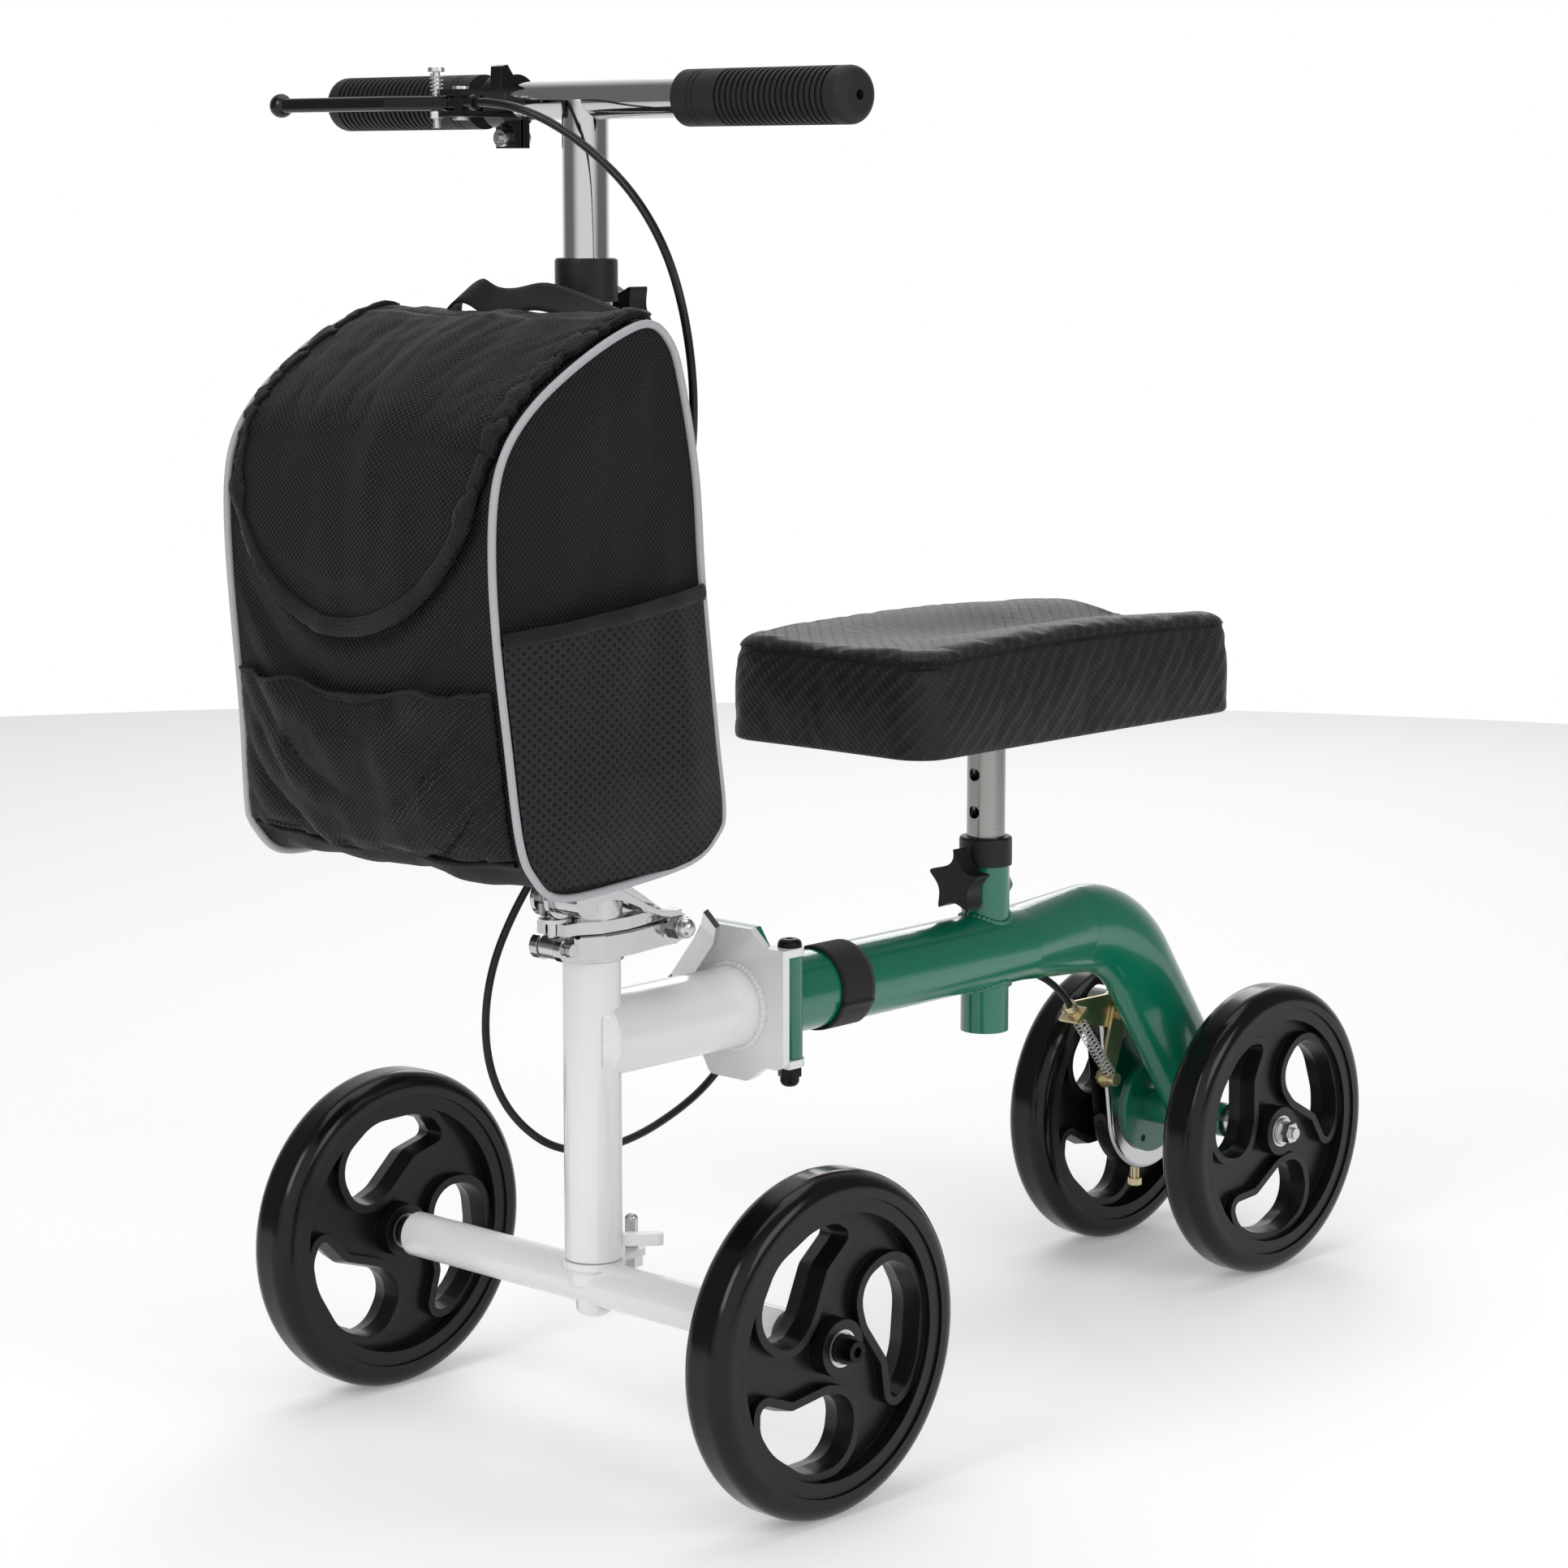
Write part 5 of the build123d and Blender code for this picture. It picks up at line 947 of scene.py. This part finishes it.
# the seam is drawn in and down by its thread
seam_row = pad_rows[pad_side_rows - 1]
for k, point in enumerate(seam_row):
    inward = (Vector((PAD_CENTRE.x, 0, point.z)) - point).normalized()
    seam_row[k] = point + inward * 0.0011 - Vector((0, 0, 0.0006))
pad_piece.data = pad_data("pad_cover_settled", pad_rows, pad_uv, pad_side_rows)
subdivide(pad_piece)
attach(pad_piece, "seat")
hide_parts("seat_pad")


def stitch_row(name, points, spacing, length, radius, body, material):
    """Short threads laid along a closed line of points."""
    mesh = bpy.data.meshes.new(name)
    bm = bmesh.new()
    total = 0.0
    placed = spacing
    for k in range(len(points)):
        a, b = points[k], points[(k + 1) % len(points)]
        step = (b - a).length
        along = (b - a).normalized()
        while placed <= total + step:
            centre = a + along * (placed - total)
            turn = along.to_track_quat("Z", "Y").to_matrix().to_4x4()
            bmesh.ops.create_cone(
                bm,
                cap_ends=True,
                segments=6,
                radius1=radius,
                radius2=radius,
                depth=length,
                matrix=Matrix.Translation(centre) @ turn,
            )
            placed += spacing
        total += step
    bm.to_mesh(mesh)
    bm.free()
    mesh.shade_smooth()
    return add_object(name, mesh, body, material)


stitch_line = [below.lerp(above, 0.9) for below, above in zip(seam_row, pad_rows[pad_side_rows])]
stitch_row("pad_stitching", stitch_line, 0.0042, 0.0030, 0.00038, "seat", cable_black)

# ---------------------------------------------------------------- brake cable
# the points that control each stretch, in mm
UPPER_ROUTE = (
    (46, -42, 801.5), (46, -14, 801.5), (30, 22, 783), (22, 66, 748), (15, 91, 700), (9, 91.5, 665),
)
MIDDLE_ROUTE = (
    (9, 91.5, 665), (3, 92, 630), (-12, 66, 564), (-25, 31, 499),
    (-30, -6, 434), (-20, -42, 372), (-10, -53, 349),
)
LOWER_ROUTE = (
    (-10, -53, 349), (0, -64, 326), (12, -78, 280), (14, -80, 232), (6, -68, 194), (-14, -44, 170),
    (-58, -31, 170), (-88, -32, 178),
)
REAR_ROUTE = (
    (-88, -32, 178), (-118, -33, 186), (-150, -33, 207), (-186, -29.5, 240), (-248, -29.5, 244),
    (-316, -31.5, 243), (-374, -31.5, 239), (-425, -30, 228), (-466.75, -21.5, 212.78),
    (-482.46, -21.5, 193.33),
)
CABLE_RADIUS = 0.0025


def route_line(name, route):
    """Points along the smooth line that a route's points control."""
    curve = bpy.data.curves.new(name, "CURVE")
    curve.dimensions = "3D"
    curve.resolution_u = 16
    spline = curve.splines.new("NURBS")
    spline.points.add(len(route) - 1)
    for target, point in zip(spline.points, route):
        target.co = (*[value * MM for value in point], 1)
    spline.order_u = 3
    spline.use_endpoint_u = True
    holder = bpy.data.objects.new(name, curve)
    line = bpy.data.meshes.new_from_object(holder)
    points = [vertex.co.copy() for vertex in line.vertices]
    bpy.data.objects.remove(holder)
    bpy.data.meshes.remove(line)
    return points


def tube_rows(line, radius_at, sides, closed=False):
    """Rings of points along a line, and their coordinates; radius_at gives the radius at a length."""
    rows, uv_rows = [], []
    normal = None
    length = 0.0
    last = len(line) - 1
    angles = [math.tau * j / sides for j in range(sides)]
    for k, point in enumerate(line):
        if closed:
            ahead = (line[(k + 1) % len(line)] - line[k - 1]).normalized()
        else:
            ahead = (line[min(k + 1, last)] - line[max(k - 1, 0)]).normalized()
        if normal is None:
            normal = ahead.orthogonal().normalized()
        normal = (normal - ahead * normal.dot(ahead)).normalized()
        across = ahead.cross(normal)
        if k:
            length += (point - line[k - 1]).length
        radius = radius_at(length)
        rows.append([point + (normal * math.cos(a) + across * math.sin(a)) * radius for a in angles])
        uv_rows.append([(length, radius * a) for a in angles])
    return rows, uv_rows


def brake_cable(name, node, route):
    """One stretch of the brake cable, as a tube along its route in place of its part from model.glb."""
    line = route_line(name, route)
    tube = tube_rows(line, lambda length: CABLE_RADIUS, 14)
    piece = add_grid(name, *tube, None, cable_black, "cable_black", close_columns=True)
    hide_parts(node)
    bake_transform(piece)


brake_cable(
    "cable_upper_cord", "cable_upper", UPPER_ROUTE,
)
brake_cable(
    "cable_middle_cord", "cable_middle", MIDDLE_ROUTE,
)
brake_cable(
    "cable_lower_cord", "cable_lower", LOWER_ROUTE,
)
brake_cable(
    "cable_rear_cord", "cable_rear", REAR_ROUTE,
)


# ---------------------------------------------------------------- hook and loop strap round beam and cable
def hook_and_loop():
    """Napped loop tape: a dull, hairy nylon."""
    material, tree, shader = new_material("hook_and_loop", (0.012, 0.012, 0.013), 0.9, 0.0, 0.0, 0.2)
    nap = noise_node(tree, 1400.0, 6.0)
    add_bump(tree, shader, nap, 0.0006, 1.0)
    shade = mix_color(tree, nap, (0.004, 0.004, 0.0045), (0.028, 0.028, 0.03))
    tree.links.new(shade, shader.inputs["Base Color"])
    shader.inputs["Sheen Weight"].default_value = 0.15
    shader.inputs["Sheen Roughness"].default_value = 0.5
    return material


BEAM_Z, BEAM_RADIUS = 0.252, 0.0254
STRAP_CABLE_Y, STRAP_CABLE_Z = -0.0295, 0.241
STRAP_OFF_BEAM, STRAP_OFF_CABLE = 0.0011, 0.0032
STRAP_FRONT, STRAP_WIDTH = -0.1945, 0.030


def strap_point(angle, lift):
    """A point on the strap's section, which is drawn tight round the beam and the cable."""
    out_y, out_z = math.cos(angle), math.sin(angle)
    reaches = []
    for y, z, radius in (
        (0.0, BEAM_Z, BEAM_RADIUS + STRAP_OFF_BEAM),
        (STRAP_CABLE_Y, STRAP_CABLE_Z, CABLE_RADIUS + STRAP_OFF_CABLE),
    ):
        reaches.append((out_y * y + out_z * z + radius, y, z, radius))
    _, y, z, radius = max(reaches)
    return Vector((0, y + out_y * (radius + lift), z + out_z * (radius + lift)))


strap_rows, strap_uv = [], []
STRAP_TURNS = 150
strap_length = 0.0
for k in range(STRAP_TURNS + 1):
    share = k / STRAP_TURNS
    angle = math.radians(-60 + 405 * share)
    lift = 0.0006 * smoothstep((share - 0.84) / 0.05) + 0.0012 * smoothstep((share - 0.975) / 0.025)
    centre = strap_point(angle, lift)
    if strap_rows:
        strap_length += (centre.yz - strap_rows[-1][4].yz).length
    row = []
    skew = 0.0009 * smoothstep((share - 0.85) / 0.1)
    for j in range(9):
        fray = 0.0003 * noise_at(k * 0.35, j, 2.0)
        x = STRAP_FRONT - STRAP_WIDTH * j / 8 + skew + (fray if j in (0, 8) else 0)
        row.append(Vector((x, centre.y, centre.z)))
    strap_rows.append(row)
    strap_uv.append([(strap_length, STRAP_WIDTH * j / 8) for j in range(9)])
strap_piece = add_band(
    "beam_strap_tape", strap_rows, strap_uv, "rear_frame_body", hook_and_loop(), "webbing", 0.0013
)
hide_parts("beam_strap")


# ---------------------------------------------------------------- weld beads
def weld_bead(name, line, radius, body, material, slot):
    """A closed weld along a line of points."""

    def radius_at(length):
        """The bead's radius, with the ripples of its puddles."""
        ripple = 1 + 0.14 * math.sin(math.tau * length / 0.0031)
        return radius * (ripple + 0.12 * noise_at(length * 90, radius * 900, 0))

    rows, uv_rows = tube_rows(line, radius_at, 10, closed=True)
    add_grid(name, rows, uv_rows, body, material, slot, close_rows=True, close_columns=True)


SEAT_TUBE_X, SEAT_TUBE_RADIUS = -0.365, 0.0163


def saddle(side, count=180):
    """Where the upright seat tube meets the level beam, above it or below."""
    points = []
    for k in range(count):
        angle = math.tau * k / count
        y = SEAT_TUBE_RADIUS * math.sin(angle)
        drop = math.sqrt((BEAM_RADIUS + 0.0003) ** 2 - y * y)
        points.append(Vector((SEAT_TUBE_X + SEAT_TUBE_RADIUS * math.cos(angle), y, BEAM_Z + side * drop)))
    return points


for side, place in ((1, "top"), (-1, "foot")):
    weld_bead(
        f"seat_tube_weld_{place}", saddle(side), 0.0019, "rear_frame_body", green_paint, "green_paint"
    )
PLATE_FACE = -0.1215
PLATE_WELD_RING = BEAM_RADIUS + 0.0006
plate_line = []
for k in range(200):
    angle = math.tau * k / 200
    y, z = PLATE_WELD_RING * math.cos(angle), BEAM_Z + PLATE_WELD_RING * math.sin(angle)
    plate_line.append(Vector((PLATE_FACE, y, z)))
weld_bead("plate_weld", plate_line, 0.0024, "front_frame_body", white_paint, "white_paint")


def beam_end(name, side):
    """The filled weld that closes the beam's end beside the narrower head tube, down to inside its wall."""
    inner, back, height = 0.0165, 0.0025, 0.0075
    reach = math.acos(inner / BEAM_RADIUS)
    rows, uv_rows = [], []
    for k in range(41):
        angle = reach * (k / 20 - 1)
        rim_y, z = BEAM_RADIUS * math.cos(angle), BEAM_Z + BEAM_RADIUS * math.sin(angle)
        front, rear = [], []
        for j in range(9):
            share = j / 8
            x = height * (1 - share) ** 2 * min(1.0, (rim_y - inner) / 0.004)
            front.append(Vector((x, side * (inner + (rim_y - inner) * share), z)))
            rear.append(Vector((-back, side * (inner + (rim_y - 0.0004 - inner) * share), z)))
        loop = front + rear[::-1]
        rows.append(loop)
        uv_rows.append([(point.y, point.z) for point in loop])
    add_grid(name, rows, uv_rows, "front_frame_body", white_paint, "white_paint", close_rows=True)


beam_end("beam_end_left", 1)
beam_end("beam_end_right", -1)

# ---------------------------------------------------------------- floor and light
FLOOR_RADIUS = 3.4
floor_mesh = bpy.data.meshes.new("floor")
turns = [math.radians(angle) for angle in range(0, 360, 4)]
rim = [(FLOOR_RADIUS * math.cos(turn), FLOOR_RADIUS * math.sin(turn), 0) for turn in turns]
floor_mesh.from_pydata(rim, [], [list(range(len(rim)))])
floor = bpy.data.objects.new("floor", floor_mesh)
scene.collection.objects.link(floor)
floor_material, _, floor_shader = new_material("floor", (0.94, 0.94, 0.94), 0.8, 0.0, 0.0, 0.2)
floor_shader.inputs["Emission Color"].default_value = (1, 1, 1, 1)
floor_shader.inputs["Emission Strength"].default_value = 0.22
floor_mesh.materials.append(floor_material)


def softbox(name, place, aim, size, power):
    """A large soft light that points at aim."""
    data = bpy.data.lights.new(name, "AREA")
    data.shape = "RECTANGLE"
    data.size, data.size_y = size
    data.energy = power
    light = bpy.data.objects.new(name, data)
    scene.collection.objects.link(light)
    light.location = place
    light.rotation_mode = "QUATERNION"
    light.rotation_quaternion = (Vector(aim) - Vector(place)).to_track_quat("-Z", "Y")


softbox("key", (2.6, 0.2, 2.2), (0, 0, 0.4), (1.2, 1.6), 26)
softbox("side", (-0.6, 2.8, 1.5), (-0.2, 0, 0.4), (1.6, 1.2), 18)
softbox("top", (-0.3, -0.2, 3.0), (-0.2, 0, 0.4), (2.4, 2.0), 24)
softbox("back", (-2.6, -1.8, 1.8), (-0.2, 0, 0.4), (1.2, 1.2), 12)

world = bpy.data.worlds.new("studio")
world.use_nodes = True
sky = world.node_tree
backdrop = sky.nodes["Background"]
backdrop.inputs["Color"].default_value = (1.0, 1.0, 1.0, 1)
direction = sky.nodes.new("ShaderNodeTexCoord").outputs["Generated"]
facing = sky.nodes.new("ShaderNodeVectorMath")
facing.operation = "DOT_PRODUCT"
facing.inputs[1].default_value = (-0.73, -0.68, 0.0)
sky.links.new(direction, facing.inputs[0])
glow = sky.nodes.new("ShaderNodeMapRange")
glow.interpolation_type = "SMOOTHSTEP"
glow.inputs["From Min"].default_value = 0.35
glow.inputs["From Max"].default_value = 0.93
glow.inputs["To Min"].default_value = 0.20
glow.inputs["To Max"].default_value = 1.0
sky.links.new(math_node(sky, "ABSOLUTE", facing.outputs["Value"]), glow.inputs["Value"])
sky.links.new(glow.outputs["Result"], backdrop.inputs["Strength"])
scene.world = world
scene.view_settings.view_transform = "Standard"
